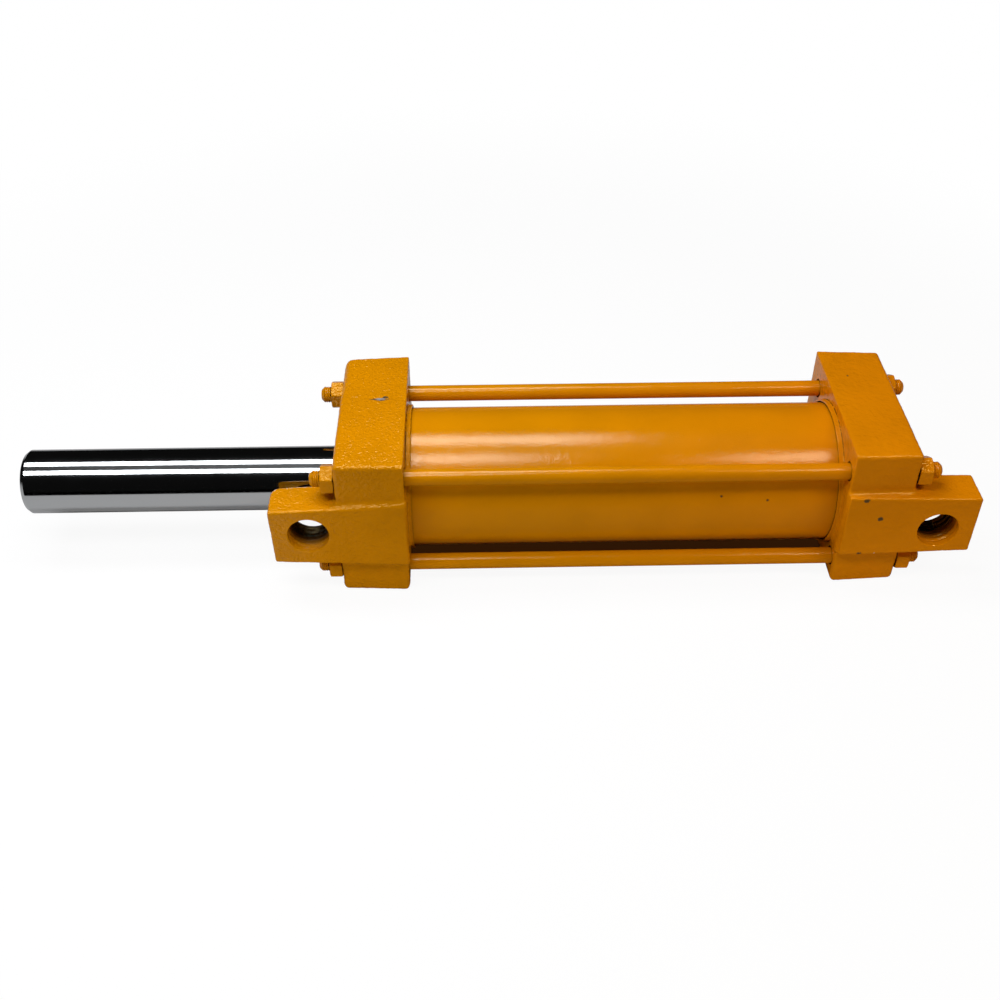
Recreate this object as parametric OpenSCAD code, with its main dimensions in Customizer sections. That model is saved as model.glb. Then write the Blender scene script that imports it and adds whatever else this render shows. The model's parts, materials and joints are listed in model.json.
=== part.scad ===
// Tie-rod hydraulic cylinder with two side lugs and a plain chromed rod.
// Millimetres. +X runs along the cylinder from the rod end to the cap end, +Z is up,
// and the lugs stand on the -Y side. The origin is the centre of the cap lug's bore.

/* [Barrel] */
// Outside diameter of the barrel tube
barrel_od = 130; // [124:1:132]
// Inside diameter of the barrel tube
barrel_bore = 110; // [104:1:112]
// Distance between the two castings' inner faces
casting_gap = 394; // [380:2:480]

/* [Rod] */
// Diameter of the chromed rod
rod_diameter = 60; // [56:1:62]
// Length of rod outside the rod head, as posed
rod_showing = 295.5; // [285:0.5:400]
// Stroke from fully retracted to fully extended
stroke = 300; // [200:5:300]
// Travel still left towards full extension, as posed
extension_left = 25; // [0:5:40]
// Core diameter of the tapped hole in the rod's end
rod_tap_diameter = 33.8; // [20:0.1:36]
// Depth of the tapped hole in the rod's end
rod_tap_depth = 60; // [30:1:80]

/* [Tie rods] */
// Distance between the front and the back tie rods
tie_spacing_y = 128; // [124:1:132]
// Distance between the upper and the lower tie rods
tie_spacing_z = 101; // [100:1:106]
// Diameter of a tie rod
tie_diameter = 15.1; // [12:0.1:16]
// Width across flats of a nut
nut_flats = 24; // [21:1:24]
// Thickness of a nut
nut_height = 12; // [10:1:16]
// Length of tie rod that stands out of each nut
stud_showing = 10; // [6:1:16]

/* [Rod head casting] */
// Thickness along the cylinder
head_thickness = 62; // [56:1:66]
// Distance from the cylinder's axis to the front, lug side
head_front = 80.5; // [80:0.5:82]
// Distance from the cylinder's axis to the back
head_back = 91.5; // [84:0.5:94]
// Distance from the cylinder's axis to the top
head_top = 75; // [72:0.5:80]
// Height of the lug's tip above the cylinder's axis
head_lug_top = 28.5; // [26:0.5:29]
// Height of the lug's tip below the cylinder's axis
head_lug_bottom = 31; // [27:0.5:31]
// Growth of the lug's height from its tip to the casting's inner face, at the top
head_lug_rise = 6; // [2:0.5:7]
// Growth of the lug's height from its tip to the casting's inner face, at the bottom
head_lug_drop = 6; // [2:0.5:7]
// Reach of the lug past the casting's outer face, at the lug's bottom edge
head_lug_reach = 58.5; // [58:0.5:66]
// How much further the lug reaches at its top edge
head_lug_slant = 1.75; // [0:0.25:3]
// Height of the lug bore above the cylinder's axis
head_lug_bore_z = 1; // [-2:0.5:3]

/* [End cap casting] */
// Thickness along the cylinder
cap_thickness = 60; // [56:1:66]
// Distance from the cylinder's axis to the front, lug side
cap_front = 77.5; // [77:0.5:82]
// Distance from the cylinder's axis to the back
cap_back = 89; // [84:0.5:94]
// Distance from the cylinder's axis to the top
cap_top = 77; // [72:0.5:80]
// Height of the lug's tip above the cylinder's axis
cap_lug_top = 33; // [30:0.5:33]
// Height of the lug's tip below the cylinder's axis
cap_lug_bottom = 29; // [27:0.5:31]
// Growth of the lug's height from its tip to the casting's inner face, at the top
cap_lug_rise = 2.5; // [1:0.5:3]
// Growth of the lug's height from its tip to the casting's inner face, at the bottom
cap_lug_drop = 4; // [1:0.5:7]
// Reach of the lug past the casting's outer face
cap_lug_reach = 59; // [58:0.5:66]
// Height of the lug bore above the cylinder's axis
cap_lug_bore_z = -3.5; // [-4:0.5:2]

/* [Both castings] */
// Distance from the cylinder's axis to the bottom
casting_bottom = 71.5; // [68:0.5:76]
// Distance from the cylinder's axis to the lugs' front face
lug_front = 84.5; // [83:0.5:90]
// Thickness of a lug
lug_thickness = 36; // [30:1:38]
// Distance from a casting's outer face to its lug bore
lug_bore_out = 26; // [26:1:32]
// Diameter of a lug bore
lug_bore = 37.2; // [30:0.1:40]
// Core diameter of an oil port's thread
port_diameter = 18.64; // [15:0.01:19]

/* [Hidden] */
$fn = 96;

// Fits
running = 0.05;             // radial gap of a running fit
touch = 0.02;               // gap that keeps two fixed neighbours apart
past = 1;                   // how far a cut runs past the face that it opens

// Colours
enamel = "#D98A00";
steel = "#8A8D90";
chrome = "#C9CCD0";
bronze = "#B08245";
rubber = "#1C1C1E";
seal_blue = "#2F5F8F";
seal_white = "#D8D2C0";

// Radii
barrel_r = barrel_od / 2;
bore_r = barrel_bore / 2;
rod_r = rod_diameter / 2;
tie_r = tie_diameter / 2;
tie_hole_r = tie_r + 1.5;
lug_bore_r = lug_bore / 2;

// Castings
draft_y = 2;                // how much each side leans in towards the outer face
draft_z = 1.2;              // how much the top and bottom lean in towards the outer face
edge_r = 4;                 // rounding of the upper front edge and the outer face's edges
crisp_r = 1.8;              // rounding of the castings' other long edges
rim_r = 1.6;                // rounding of the inner face's edges
foot_r = 5;                 // rounding between the bottom and the inner and outer faces
head_corner_r = 8;          // rounding of the corner between the back and the outer face
cap_corner_r = 4;
lug_edge_r = 3;             // rounding of the lug tip's upper and lower corners
head_lug_front_r = 2;       // rounding of the lug tip's corner on the front side
cap_lug_front_r = 1.5;
head_lug_back_r = 9;        // rounding of the lug tip's corner on the back side
cap_lug_back_r = 2;
arc_steps = 6;              // straight steps in a rounded corner of an outline
boss_r = barrel_r + 3;      // round boss that the barrel seats in
boss_height = 4.5;
seat_depth = 3.5;           // how far the barrel's end sits below the casting's inner face
seat_chamfer = 1.4;
head_spigot = 20;           // how far the head reaches into the barrel
cap_spigot = 16;
spigot_r = bore_r - running;
lug_grooves = 5;            // shallow rings turned in a lug bore
lug_groove_pitch = 5.4;
lug_groove_depth = 1.1;
lug_mouth_chamfer = 1;

// Oil ways
port_depth = 17;
port_face_r = 17;           // machined flat round a port
port_face_depth = 1.5;
port_chamfer = 1.6;
drill_tip_angle = 59;
head_port_x = 30;           // from the inner face, outwards
head_drill_r = 4;
head_drill_y = 44.5;        // the drilling that runs from the port into the barrel
cap_port_x = 16;
cap_drill_r = 5;
pocket_r = 40;              // hollow in the cap that the piston nut runs into
pocket_depth = 24;          // from the inner face, outwards

// Gland in the rod head, measured outwards from the inner face
gland_wall_r = rod_r + 0.6;
bushing_r = rod_r + 3.5;
bushing_length = 38;
buffer_x = 22;
buffer_width = 8;
buffer_r = rod_r + 6.5;
seal_x = 34;
seal_width = 11;
seal_r = rod_r + 7.5;
wiper_x = 48;
wiper_r = rod_r + 8;
snap_ring_x = 56;
snap_ring_width = 2;
snap_groove_r = wiper_r + 1.5;

// Static seals round a spigot
o_ring_width = 4.4;
o_ring_groove_depth = 3.4;
backup_width = 1.5;
o_ring_gland_width = o_ring_width + backup_width + 0.6;
o_ring_gland_x = 7;         // from the inner face into the barrel

// Piston, measured from its front face
piston_clearance = 0.25;
end_gap = 0.25;             // left between the piston and a spigot at each end of the stroke
piston_length = casting_gap - head_spigot - cap_spigot - stroke - 2 * end_gap;
piston_r = bore_r - piston_clearance;
wear_width = 10;
wear_depth = 2.5;
wear_inset = 7;
piston_seal_width = 8;
piston_seal_depth = 7.4;
slipper_thickness = 2.6;
rod_seat_r = rod_r - 7.5;   // the rod's step that carries the piston
piston_o_ring_r = rod_seat_r + 3;
piston_o_ring_width = 4;
piston_o_ring_x = 26;
rod_thread_r = rod_r - 9;
piston_nut_flats = 65;
piston_nut_height = 30;
thread_past_nut = 4;
rod_chamfer_length = 3.6;
rod_chamfer_depth = 3;

// Places
cap_face = -cap_thickness - lug_bore_out;
head_face = cap_face - casting_gap;
axis_y = lug_front - lug_thickness / 2;
axis_z = -cap_lug_bore_z;
piston_face = head_face + head_spigot + end_gap + extension_left;
rod_tip = head_face - head_thickness - rod_showing;

// ---------------------------------------------------------------- outlines

function unit(v) = v / norm(v);

function shortest(angle) = angle > 180 ? angle - 360 : angle < -180 ? angle + 360 : angle;

// Points of the arc that rounds one corner of an outline
function rounded_corner(before, at, after, radius) =
    let (
        a = unit(before - at),
        b = unit(after - at),
        half = acos(a * b) / 2,
        centre = at + unit(a + b) * radius / sin(half),
        start = at + a * radius / tan(half) - centre,
        finish = at + b * radius / tan(half) - centre,
        first = atan2(start.y, start.x),
        turn = shortest(atan2(finish.y, finish.x) - first)
    )
    [for (i = [0 : arc_steps])
        centre + radius * [cos(first + turn * i / arc_steps), sin(first + turn * i / arc_steps)]];

// An outline with each corner rounded by its own radius
function rounded_outline(corners, radii) =
    let (n = len(corners))
    [for (i = [0 : n - 1])
        each rounded_corner(corners[(i + n - 1) % n], corners[i], corners[(i + 1) % n], radii[i])];

// ---------------------------------------------------------------- helpers

// Children drawn on the cylinder's axis, at a distance along the part
module on_axis(x = 0) {
    translate([x, axis_y, axis_z]) children();
}

// Children drawn in a casting's frame: x = 0 on its inner face and growing outwards
module at_head() {
    on_axis(head_face) mirror([1, 0, 0]) children();
}

module at_cap() {
    on_axis(cap_face) children();
}

// A solid of revolution about X, from an outline of [x, radius] points
module turned(outline) {
    rotate([0, 90, 0]) mirror([1, 0, 0]) rotate([0, 0, 180]) rotate_extrude()
        polygon([for (p = outline) [p.y, p.x]]);
}

// A ring about X with plain ends
module ring(x, width, inner_r, outer_r) {
    turned([[x, inner_r], [x, outer_r], [x + width, outer_r], [x + width, inner_r]]);
}

// A round bar about X
module bar(x, length, r) {
    translate([x, 0, 0]) rotate([0, 90, 0]) cylinder(r = r, h = length);
}

// A hexagonal nut about X with chamfered corners, its first face at x
module hex_nut(x, flats, height, hole_r) {
    corner_r = flats / 2 / cos(30);
    chamfer = (corner_r - flats / 2) * 0.9;
    difference() {
        intersection() {
            translate([x, 0, 0]) rotate([0, 90, 0]) cylinder(r = corner_r, h = height, $fn = 6);
            turned([
                [x, 0], [x, corner_r - chamfer], [x + chamfer * 0.6, corner_r],
                [x + height - chamfer * 0.6, corner_r], [x + height, corner_r - chamfer], [x + height, 0]
            ]);
        }
        bar(x - past, height + 2 * past, hole_r);
    }
}

// ---------------------------------------------------------------- castings

// Block with drafted sides; x = 0 on its inner face
module block(thickness, front, back, top, corner_r) {
    length_cut = front + back;
    height_cut = top + casting_bottom;
    intersection() {
        rotate([90, 0, 90]) linear_extrude(thickness) polygon(rounded_outline(
            [[-front, -casting_bottom], [back, -casting_bottom], [back, top], [-front, top]],
            [crisp_r, crisp_r, crisp_r, edge_r]));
        translate([0, back, 0]) rotate([90, 0, 0]) linear_extrude(length_cut) polygon(rounded_outline(
            [[0, -casting_bottom], [thickness, draft_z - casting_bottom], [thickness, top - draft_z], [0, top]],
            [foot_r, foot_r, edge_r, rim_r]));
        translate([0, 0, -casting_bottom]) linear_extrude(height_cut) polygon(rounded_outline(
            [[0, -front], [thickness, draft_y - front], [thickness, back - draft_y], [0, back]],
            [rim_r, edge_r, corner_r, rim_r]));
    }
}

// Side lug plate that runs from the casting's inner face to the lug's tip; slant tilts its tip face
module lug(tip, slant, tip_top, tip_bottom, rise, drop, front_r, back_r) {
    lug_back = lug_front - lug_thickness;
    intersection() {
        translate([0, -lug_back, 0]) rotate([90, 0, 0]) linear_extrude(lug_thickness) polygon(rounded_outline(
            [[0, -tip_bottom - drop], [tip, -tip_bottom], [tip + slant, tip_top], [0, tip_top + rise]],
            [rim_r, lug_edge_r, lug_edge_r, rim_r]));
        translate([0, 0, -tip_bottom - drop]) linear_extrude(tip_top + tip_bottom + rise + drop)
            polygon(rounded_outline(
                [[0, -lug_front], [tip + slant, -lug_front], [tip + slant, -lug_back], [0, -lug_back]],
                [rim_r, front_r, back_r, rim_r]));
    }
}

// Bore across a lug, with chamfered mouths and shallow rings
module lug_bore_cut(thickness, bore_z) {
    middle = lug_thickness / 2;
    groove_start = -lug_groove_pitch * (lug_grooves - 1) / 2;
    half_groove = lug_groove_pitch * 0.3;
    translate([thickness + lug_bore_out, -lug_front + middle, bore_z]) rotate([-90, 0, 0]) {
        translate([0, 0, -middle - past]) cylinder(r = lug_bore_r, h = lug_thickness + 2 * past);
        for (side = [0, 1])
            mirror([0, 0, side]) translate([0, 0, middle - lug_mouth_chamfer])
                cylinder(r1 = lug_bore_r, r2 = lug_bore_r + lug_mouth_chamfer + past, h = lug_mouth_chamfer + past);
        for (i = [0 : lug_grooves - 1])
            translate([0, 0, groove_start + i * lug_groove_pitch]) rotate_extrude()
                polygon([
                    [lug_bore_r - past, -half_groove], [lug_bore_r, -half_groove],
                    [lug_bore_r + lug_groove_depth, 0], [lug_bore_r, half_groove], [lug_bore_r - past, half_groove]
                ]);
    }
}

// Threaded port in the back face, with its machined flat
module port_cut(x, back) {
    translate([x, back - draft_y * x / head_thickness, 0]) rotate([-90, 0, 0]) {
        translate([0, 0, -port_face_depth]) cylinder(r = port_face_r, h = port_face_depth + 10);
        translate([0, 0, -port_face_depth - port_depth]) cylinder(r = port_diameter / 2, h = port_depth + past);
        translate([0, 0, -port_face_depth - port_chamfer])
            cylinder(r1 = port_diameter / 2, r2 = port_diameter / 2 + port_chamfer + past, h = port_chamfer + past);
    }
}

// The four tie-rod holes
module tie_holes(thickness) {
    for (y = [-1, 1], z = [-1, 1])
        translate([0, y * tie_spacing_y / 2, z * tie_spacing_z / 2])
            bar(-past, thickness + 2 * past, tie_hole_r);
}

// Boss and spigot that carry the barrel's end
module barrel_seat(spigot) {
    bar(-boss_height, boss_height + seat_depth + past, boss_r);
    turned([
        [-spigot, 0], [-spigot, spigot_r - 2], [2 - spigot, spigot_r], [seat_depth + past, spigot_r],
        [seat_depth + past, 0]
    ]);
}

// Ring-shaped seat for the barrel's end, chamfered at its mouth
module barrel_seat_cut() {
    turned([
        [-boss_height - past, spigot_r], [-boss_height - past, barrel_r + seat_chamfer + past],
        [seat_chamfer - boss_height, barrel_r + touch], [seat_depth, barrel_r + touch], [seat_depth, spigot_r]
    ]);
}

// Groove round a spigot for an O-ring and its backup ring
module o_ring_gland_cut() {
    ring(-o_ring_gland_x - o_ring_gland_width, o_ring_gland_width, spigot_r - o_ring_groove_depth, bore_r + past);
}

module rod_head() {
    color(enamel) at_head() difference() {
        union() {
            block(head_thickness, head_front, head_back, head_top, head_corner_r);
            lug(head_thickness + head_lug_reach, head_lug_slant, head_lug_top, head_lug_bottom,
                head_lug_rise, head_lug_drop, head_lug_front_r, head_lug_back_r);
            barrel_seat(head_spigot);
        }
        barrel_seat_cut();
        o_ring_gland_cut();
        tie_holes(head_thickness);
        lug_bore_cut(head_thickness, head_lug_bore_z);
        // rod gland
        bar(-head_spigot - past, head_spigot + head_thickness + 2 * past, gland_wall_r);
        bar(-head_spigot - past, bushing_length + past, bushing_r);
        ring(buffer_x, buffer_width, gland_wall_r - past, buffer_r);
        ring(seal_x, seal_width, gland_wall_r - past, seal_r);
        bar(wiper_x, head_thickness - wiper_x + past, wiper_r);
        ring(snap_ring_x, snap_ring_width, wiper_r - past, snap_groove_r);
        // oil way from the port to the front of the barrel
        port_cut(head_port_x, head_back);
        translate([head_port_x, head_drill_y, 0]) rotate([-90, 0, 0])
            cylinder(r = head_drill_r, h = head_back - head_drill_y - port_depth);
        translate([0, head_drill_y, 0])
            bar(-head_spigot - past, head_port_x + head_spigot + past, head_drill_r);
    }
}

module end_cap() {
    color(enamel) at_cap() difference() {
        union() {
            block(cap_thickness, cap_front, cap_back, cap_top, cap_corner_r);
            lug(cap_thickness + cap_lug_reach, 0, cap_lug_top, cap_lug_bottom,
                cap_lug_rise, cap_lug_drop, cap_lug_front_r, cap_lug_back_r);
            barrel_seat(cap_spigot);
        }
        barrel_seat_cut();
        o_ring_gland_cut();
        tie_holes(cap_thickness);
        lug_bore_cut(cap_thickness, cap_lug_bore_z);
        bar(-cap_spigot - past, cap_spigot + pocket_depth + past, pocket_r);
        // oil way from the port to the pocket
        port_cut(cap_port_x, cap_back);
        translate([cap_port_x, 0, 0]) rotate([-90, 0, 0])
            cylinder(r = cap_drill_r, h = cap_back - port_depth);
    }
}

// ---------------------------------------------------------------- fixed parts

module barrel() {
    start = head_face - seat_depth + touch;
    length = casting_gap + 2 * (seat_depth - touch);
    color(enamel) on_axis(start) turned([
        [0, bore_r + 1], [0, barrel_r - 1], [1, barrel_r], [length - 1, barrel_r],
        [length, barrel_r - 1], [length, bore_r + 1], [length - 3, bore_r], [3, bore_r]
    ]);
}

// A tie rod with domed ends; up and back are 1 or -1
module tie_rod(up, back) {
    start = head_face - head_thickness - nut_height - stud_showing;
    length = casting_gap + head_thickness + cap_thickness + 2 * (nut_height + stud_showing);
    dome = 3;
    dome_points = [for (a = [0 : 15 : 90]) [dome * (1 - cos(a)), tie_r * (0.55 + 0.45 * sin(a))]];
    color(enamel) on_axis(start) translate([0, back * tie_spacing_y / 2, up * tie_spacing_z / 2]) turned(concat(
        [[0, 0]], dome_points,
        [for (i = [len(dome_points) - 1 : -1 : 0]) [length - dome_points[i].x, dome_points[i].y]],
        [[length, 0]]));
}

module tie_rod_upper_front() { tie_rod(1, -1); }

module tie_rod_upper_back() { tie_rod(1, 1); }

module tie_rod_lower_front() { tie_rod(-1, -1); }

module tie_rod_lower_back() { tie_rod(-1, 1); }

// A tie-rod nut; x is its face on the casting's side of the cylinder
module tie_nut(x, up, back) {
    color(enamel) on_axis() translate([0, back * tie_spacing_y / 2, up * tie_spacing_z / 2])
        hex_nut(x, nut_flats, nut_height, tie_r + touch);
}

module head_nut(up, back) { tie_nut(head_face - head_thickness - nut_height - touch, up, back); }

module cap_nut(up, back) { tie_nut(cap_face + cap_thickness + touch, up, back); }

module head_nut_upper_front() { head_nut(1, -1); }

module head_nut_upper_back() { head_nut(1, 1); }

module head_nut_lower_front() { head_nut(-1, -1); }

module head_nut_lower_back() { head_nut(-1, 1); }

module cap_nut_upper_front() { cap_nut(1, -1); }

module cap_nut_upper_back() { cap_nut(1, 1); }

module cap_nut_lower_front() { cap_nut(-1, -1); }

module cap_nut_lower_back() { cap_nut(-1, 1); }

// Static O-ring, squeezed oval, in a casting's frame
module spigot_o_ring() {
    squeezed = o_ring_groove_depth + running - 2 * touch;
    r = squeezed / 2;
    middle_r = bore_r - touch - r;
    x = -o_ring_gland_x - o_ring_width / 2 - 0.2;
    slack = o_ring_width / 2 - r;
    turned(concat(
        [for (a = [90 : -15 : -90]) [x + slack + r * cos(a), middle_r + r * sin(a)]],
        [for (a = [270 : -15 : 90]) [x - slack + r * cos(a), middle_r + r * sin(a)]]));
}

// Backup ring on the low-pressure side of the O-ring
module spigot_backup_ring() {
    x = -o_ring_gland_x - o_ring_gland_width + 0.1;
    ring(x, backup_width, spigot_r - o_ring_groove_depth + touch, bore_r - touch);
}

module head_o_ring() { color(rubber) at_head() spigot_o_ring(); }

module head_backup_ring() { color(seal_white) at_head() spigot_backup_ring(); }

module cap_o_ring() { color(rubber) at_cap() spigot_o_ring(); }

module cap_backup_ring() { color(seal_white) at_cap() spigot_backup_ring(); }

// ---------------------------------------------------------------- rod gland

module rod_bushing() {
    color(bronze) at_head() turned([
        [-head_spigot, rod_r + running + 0.8], [-head_spigot, bushing_r - 0.8], [0.8 - head_spigot, bushing_r - touch],
        [bushing_length - head_spigot - touch, bushing_r - touch],
        [bushing_length - head_spigot - touch, rod_r + running], [0.8 - head_spigot, rod_r + running]
    ]);
}

// Ring seal with a notch between its two lips; the notch faces the pressure
module u_cup(x, width, outer_r) {
    inner_r = rod_r + running;
    middle_r = (inner_r + outer_r) / 2;
    turned([
        [x, inner_r + 0.5], [x + 0.8, inner_r], [x + width, inner_r], [x + width, outer_r],
        [x + 0.8, outer_r], [x, outer_r - 0.5], [x, middle_r + 1.4], [x + width * 0.4, middle_r + 0.4],
        [x + width * 0.4, middle_r - 0.4], [x, middle_r - 1.4]
    ]);
}

module rod_buffer_seal() {
    color(seal_white) at_head() u_cup(buffer_x + 0.1, buffer_width - 0.2, buffer_r - touch);
}

module rod_seal() {
    color(seal_blue) at_head() u_cup(seal_x + 0.1, seal_width - 0.2, seal_r - touch);
}

// Wiper with a lip that leans onto the rod outside the head
module rod_wiper() {
    back_x = wiper_x + touch;
    front_x = snap_ring_x - touch;
    lip_x = head_thickness + 1.5;
    color(rubber) at_head() turned([
        [back_x, rod_r + running + 1], [back_x, wiper_r - touch], [front_x, wiper_r - touch],
        [front_x, rod_r + 4.2], [lip_x, rod_r + 1.6], [lip_x, rod_r + running],
        [lip_x - 2.5, rod_r + running + 0.6], [back_x + 4, rod_r + running + 1]
    ]);
}

// Snap ring with a gap and two eyes, in the groove outside the wiper
module wiper_snap_ring() {
    inner_r = rod_r + 5.6;
    gap_width = 9;
    eye_r = 2.5;
    eye_hole_r = 1.1;
    eye_angle = 11;
    eye_centre_r = snap_groove_r - eye_r - 0.1;
    color(steel) at_head() difference() {
        union() {
            difference() {
                ring(snap_ring_x + touch, snap_ring_width - 2 * touch, inner_r, snap_groove_r - touch);
                translate([snap_ring_x - past, -gap_width / 2, 0])
                    cube([snap_ring_width + 2 * past, gap_width, snap_groove_r + past]);
            }
            for (side = [-1, 1])
                rotate([side * eye_angle, 0, 0]) translate([0, 0, eye_centre_r])
                    bar(snap_ring_x + touch, snap_ring_width - 2 * touch, eye_r);
        }
        for (side = [-1, 1])
            rotate([side * eye_angle, 0, 0]) translate([0, 0, eye_centre_r])
                bar(snap_ring_x - past, snap_ring_width + 2 * past, eye_hole_r);
    }
}

// ---------------------------------------------------------------- rod and piston

module piston_rod() {
    seat = piston_face - rod_tip;
    end = seat + piston_length + piston_nut_height + thread_past_nut;
    tap_r = rod_tap_diameter / 2;
    color(chrome) on_axis(rod_tip) turned([
        [0, tap_r + 1.5], [0, rod_r - rod_chamfer_depth], [0.7, rod_r - rod_chamfer_depth + 1.2],
        [rod_chamfer_length - 1.2, rod_r - 0.7], [rod_chamfer_length, rod_r], [seat, rod_r], [seat, rod_seat_r],
        [seat + piston_length - 2, rod_seat_r], [seat + piston_length - 0.5, rod_thread_r], [end - 1.5, rod_thread_r],
        [end, rod_thread_r - 1.5], [end, 0], [rod_tap_depth + tap_r * tan(90 - drill_tip_angle), 0],
        [rod_tap_depth, tap_r], [1.5, tap_r]
    ]);
}

// Piston with grooves for its seal and wear rings, and one in its bore
module piston() {
    seal_x = (piston_length - piston_seal_width) / 2;
    color(steel) on_axis(piston_face + touch) difference() {
        turned([
            [0, rod_seat_r + touch], [0, piston_r - 2], [2, piston_r], [piston_length - 2, piston_r],
            [piston_length, piston_r - 2], [piston_length, rod_seat_r + touch]
        ]);
        ring(wear_inset, wear_width, piston_r - wear_depth, bore_r);
        ring(piston_length - wear_inset - wear_width, wear_width, piston_r - wear_depth, bore_r);
        ring(seal_x, piston_seal_width, piston_r - piston_seal_depth, bore_r);
        ring(piston_o_ring_x, piston_o_ring_width, rod_seat_r, piston_o_ring_r);
    }
}

module piston_nut() {
    color(steel) on_axis(piston_face + piston_length + 2 * touch)
        hex_nut(0, piston_nut_flats, piston_nut_height, rod_thread_r + touch);
}

// Static O-ring between the rod and the piston
module piston_o_ring() {
    r = (piston_o_ring_r - rod_seat_r) / 2 - touch;
    middle_r = (piston_o_ring_r + rod_seat_r) / 2;
    color(rubber) on_axis(piston_face + piston_o_ring_x + piston_o_ring_width / 2)
        turned([for (a = [0 : 15 : 345]) [r * cos(a), middle_r + r * sin(a)]]);
}

module wear_ring(x) {
    color(seal_white) on_axis(piston_face + x)
        ring(0.1, wear_width - 0.2, piston_r - wear_depth + running, bore_r - running);
}

module wear_ring_front() { wear_ring(wear_inset); }

module wear_ring_rear() { wear_ring(piston_length - wear_inset - wear_width); }

// Slipper ring that seals on the barrel
module piston_seal() {
    x = (piston_length - piston_seal_width) / 2 + 0.1;
    width = piston_seal_width - 0.2;
    outer_r = bore_r - running;
    color(seal_blue) on_axis(piston_face + x) turned([
        [0, outer_r - slipper_thickness], [0, outer_r - 0.6], [0.8, outer_r], [width - 0.8, outer_r],
        [width, outer_r - 0.6], [width, outer_r - slipper_thickness]
    ]);
}

// Rubber ring that presses the slipper outwards
module piston_seal_energiser() {
    low = piston_r - piston_seal_depth + running;
    high = bore_r - running - slipper_thickness - touch;
    r = (high - low) / 2;
    slack = (piston_seal_width - 0.6) / 2 - r;
    color(rubber) on_axis(piston_face + piston_length / 2) turned(concat(
        [for (a = [90 : -15 : -90]) [slack + r * cos(a), (low + high) / 2 + r * sin(a)]],
        [for (a = [270 : -15 : 90]) [r * cos(a) - slack, (low + high) / 2 + r * sin(a)]]));
}

rod_head();
end_cap();
barrel();
tie_rod_upper_front();
tie_rod_upper_back();
tie_rod_lower_front();
tie_rod_lower_back();
head_nut_upper_front();
head_nut_upper_back();
head_nut_lower_front();
head_nut_lower_back();
cap_nut_upper_front();
cap_nut_upper_back();
cap_nut_lower_front();
cap_nut_lower_back();
head_o_ring();
head_backup_ring();
cap_o_ring();
cap_backup_ring();
rod_bushing();
rod_buffer_seal();
rod_seal();
rod_wiper();
wiper_snap_ring();
piston_rod();
piston();
piston_nut();
piston_o_ring();
piston_seal();
piston_seal_energiser();
wear_ring_front();
wear_ring_rear();
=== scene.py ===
"""Looks of a tie-rod hydraulic cylinder: painted castings, barrel and tie rods, and a chromed rod.

Every length in the classes is in millimetres. A mesh becomes metres when it is made.
Casting sizes are measured from the cylinder's axis and from the casting's inner face, outwards.
"""

import json
import logging
import math
from dataclasses import dataclass
from enum import Enum
from typing import Any, Callable, Sequence

import bpy
import numpy as np
from mathutils import Matrix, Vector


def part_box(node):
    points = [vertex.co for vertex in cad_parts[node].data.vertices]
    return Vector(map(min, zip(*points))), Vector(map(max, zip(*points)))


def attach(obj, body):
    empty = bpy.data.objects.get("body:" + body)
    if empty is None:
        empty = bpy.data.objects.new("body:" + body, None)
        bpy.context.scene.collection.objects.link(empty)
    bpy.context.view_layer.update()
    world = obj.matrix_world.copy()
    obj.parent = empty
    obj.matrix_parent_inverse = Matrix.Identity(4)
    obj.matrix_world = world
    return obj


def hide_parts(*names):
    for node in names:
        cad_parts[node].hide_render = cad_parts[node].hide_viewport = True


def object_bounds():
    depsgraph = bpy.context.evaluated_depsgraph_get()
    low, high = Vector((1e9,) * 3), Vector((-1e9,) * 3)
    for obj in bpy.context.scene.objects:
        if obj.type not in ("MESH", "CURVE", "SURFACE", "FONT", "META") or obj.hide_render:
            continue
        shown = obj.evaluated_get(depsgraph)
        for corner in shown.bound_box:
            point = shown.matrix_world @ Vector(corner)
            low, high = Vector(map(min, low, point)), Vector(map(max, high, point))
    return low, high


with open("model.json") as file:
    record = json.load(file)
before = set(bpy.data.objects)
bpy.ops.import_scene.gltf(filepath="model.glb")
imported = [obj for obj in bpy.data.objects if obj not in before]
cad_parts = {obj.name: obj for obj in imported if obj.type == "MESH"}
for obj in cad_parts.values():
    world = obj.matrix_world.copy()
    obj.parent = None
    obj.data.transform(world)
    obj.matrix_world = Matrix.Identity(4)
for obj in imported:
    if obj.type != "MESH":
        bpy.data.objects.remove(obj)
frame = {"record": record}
CAD_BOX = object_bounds()

log = logging.getLogger("cylinder")
MM = 0.001
TOUCH = 0.02  # gap that keeps two fixed neighbours apart
RUNNING = 0.05  # radial gap of a running fit
SHARP_ANGLE = math.radians(38)
HEAD_THICKNESS = 62.0
CAP_THICKNESS = 60.0
COS_30 = 0.8660254
CONE_SLOPE, CONE_LENGTH = 0.6, 1.166  # a nut's chamfer: rise for each step along, and length of that step
DIAGONAL = 1.414
# Inputs and output of a Mix node on colours, and inputs of one on numbers: their names aren't unique.
FACTOR, FIRST, SECOND, MIXED = 0, 6, 7, 2
LOW, HIGH = 2, 3

Array = np.ndarray
Field = Callable[[Array, Array, Array], Array]


# ---------------------------------------------------------------- small tools


def linear(colour: str) -> tuple[float, float, float, float]:
    """Turns an sRGB hex colour into linear light.

    Args:
        colour: Six hex digits after a hash.

    Returns:
        Red, green, blue and an alpha of 1.
    """
    parts = [int(colour[i : i + 2], 16) / 255 for i in (1, 3, 5)]
    light = [p / 12.92 if p <= 0.04045 else ((p + 0.055) / 1.055) ** 2.4 for p in parts]
    return (light[0], light[1], light[2], 1.0)


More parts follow.
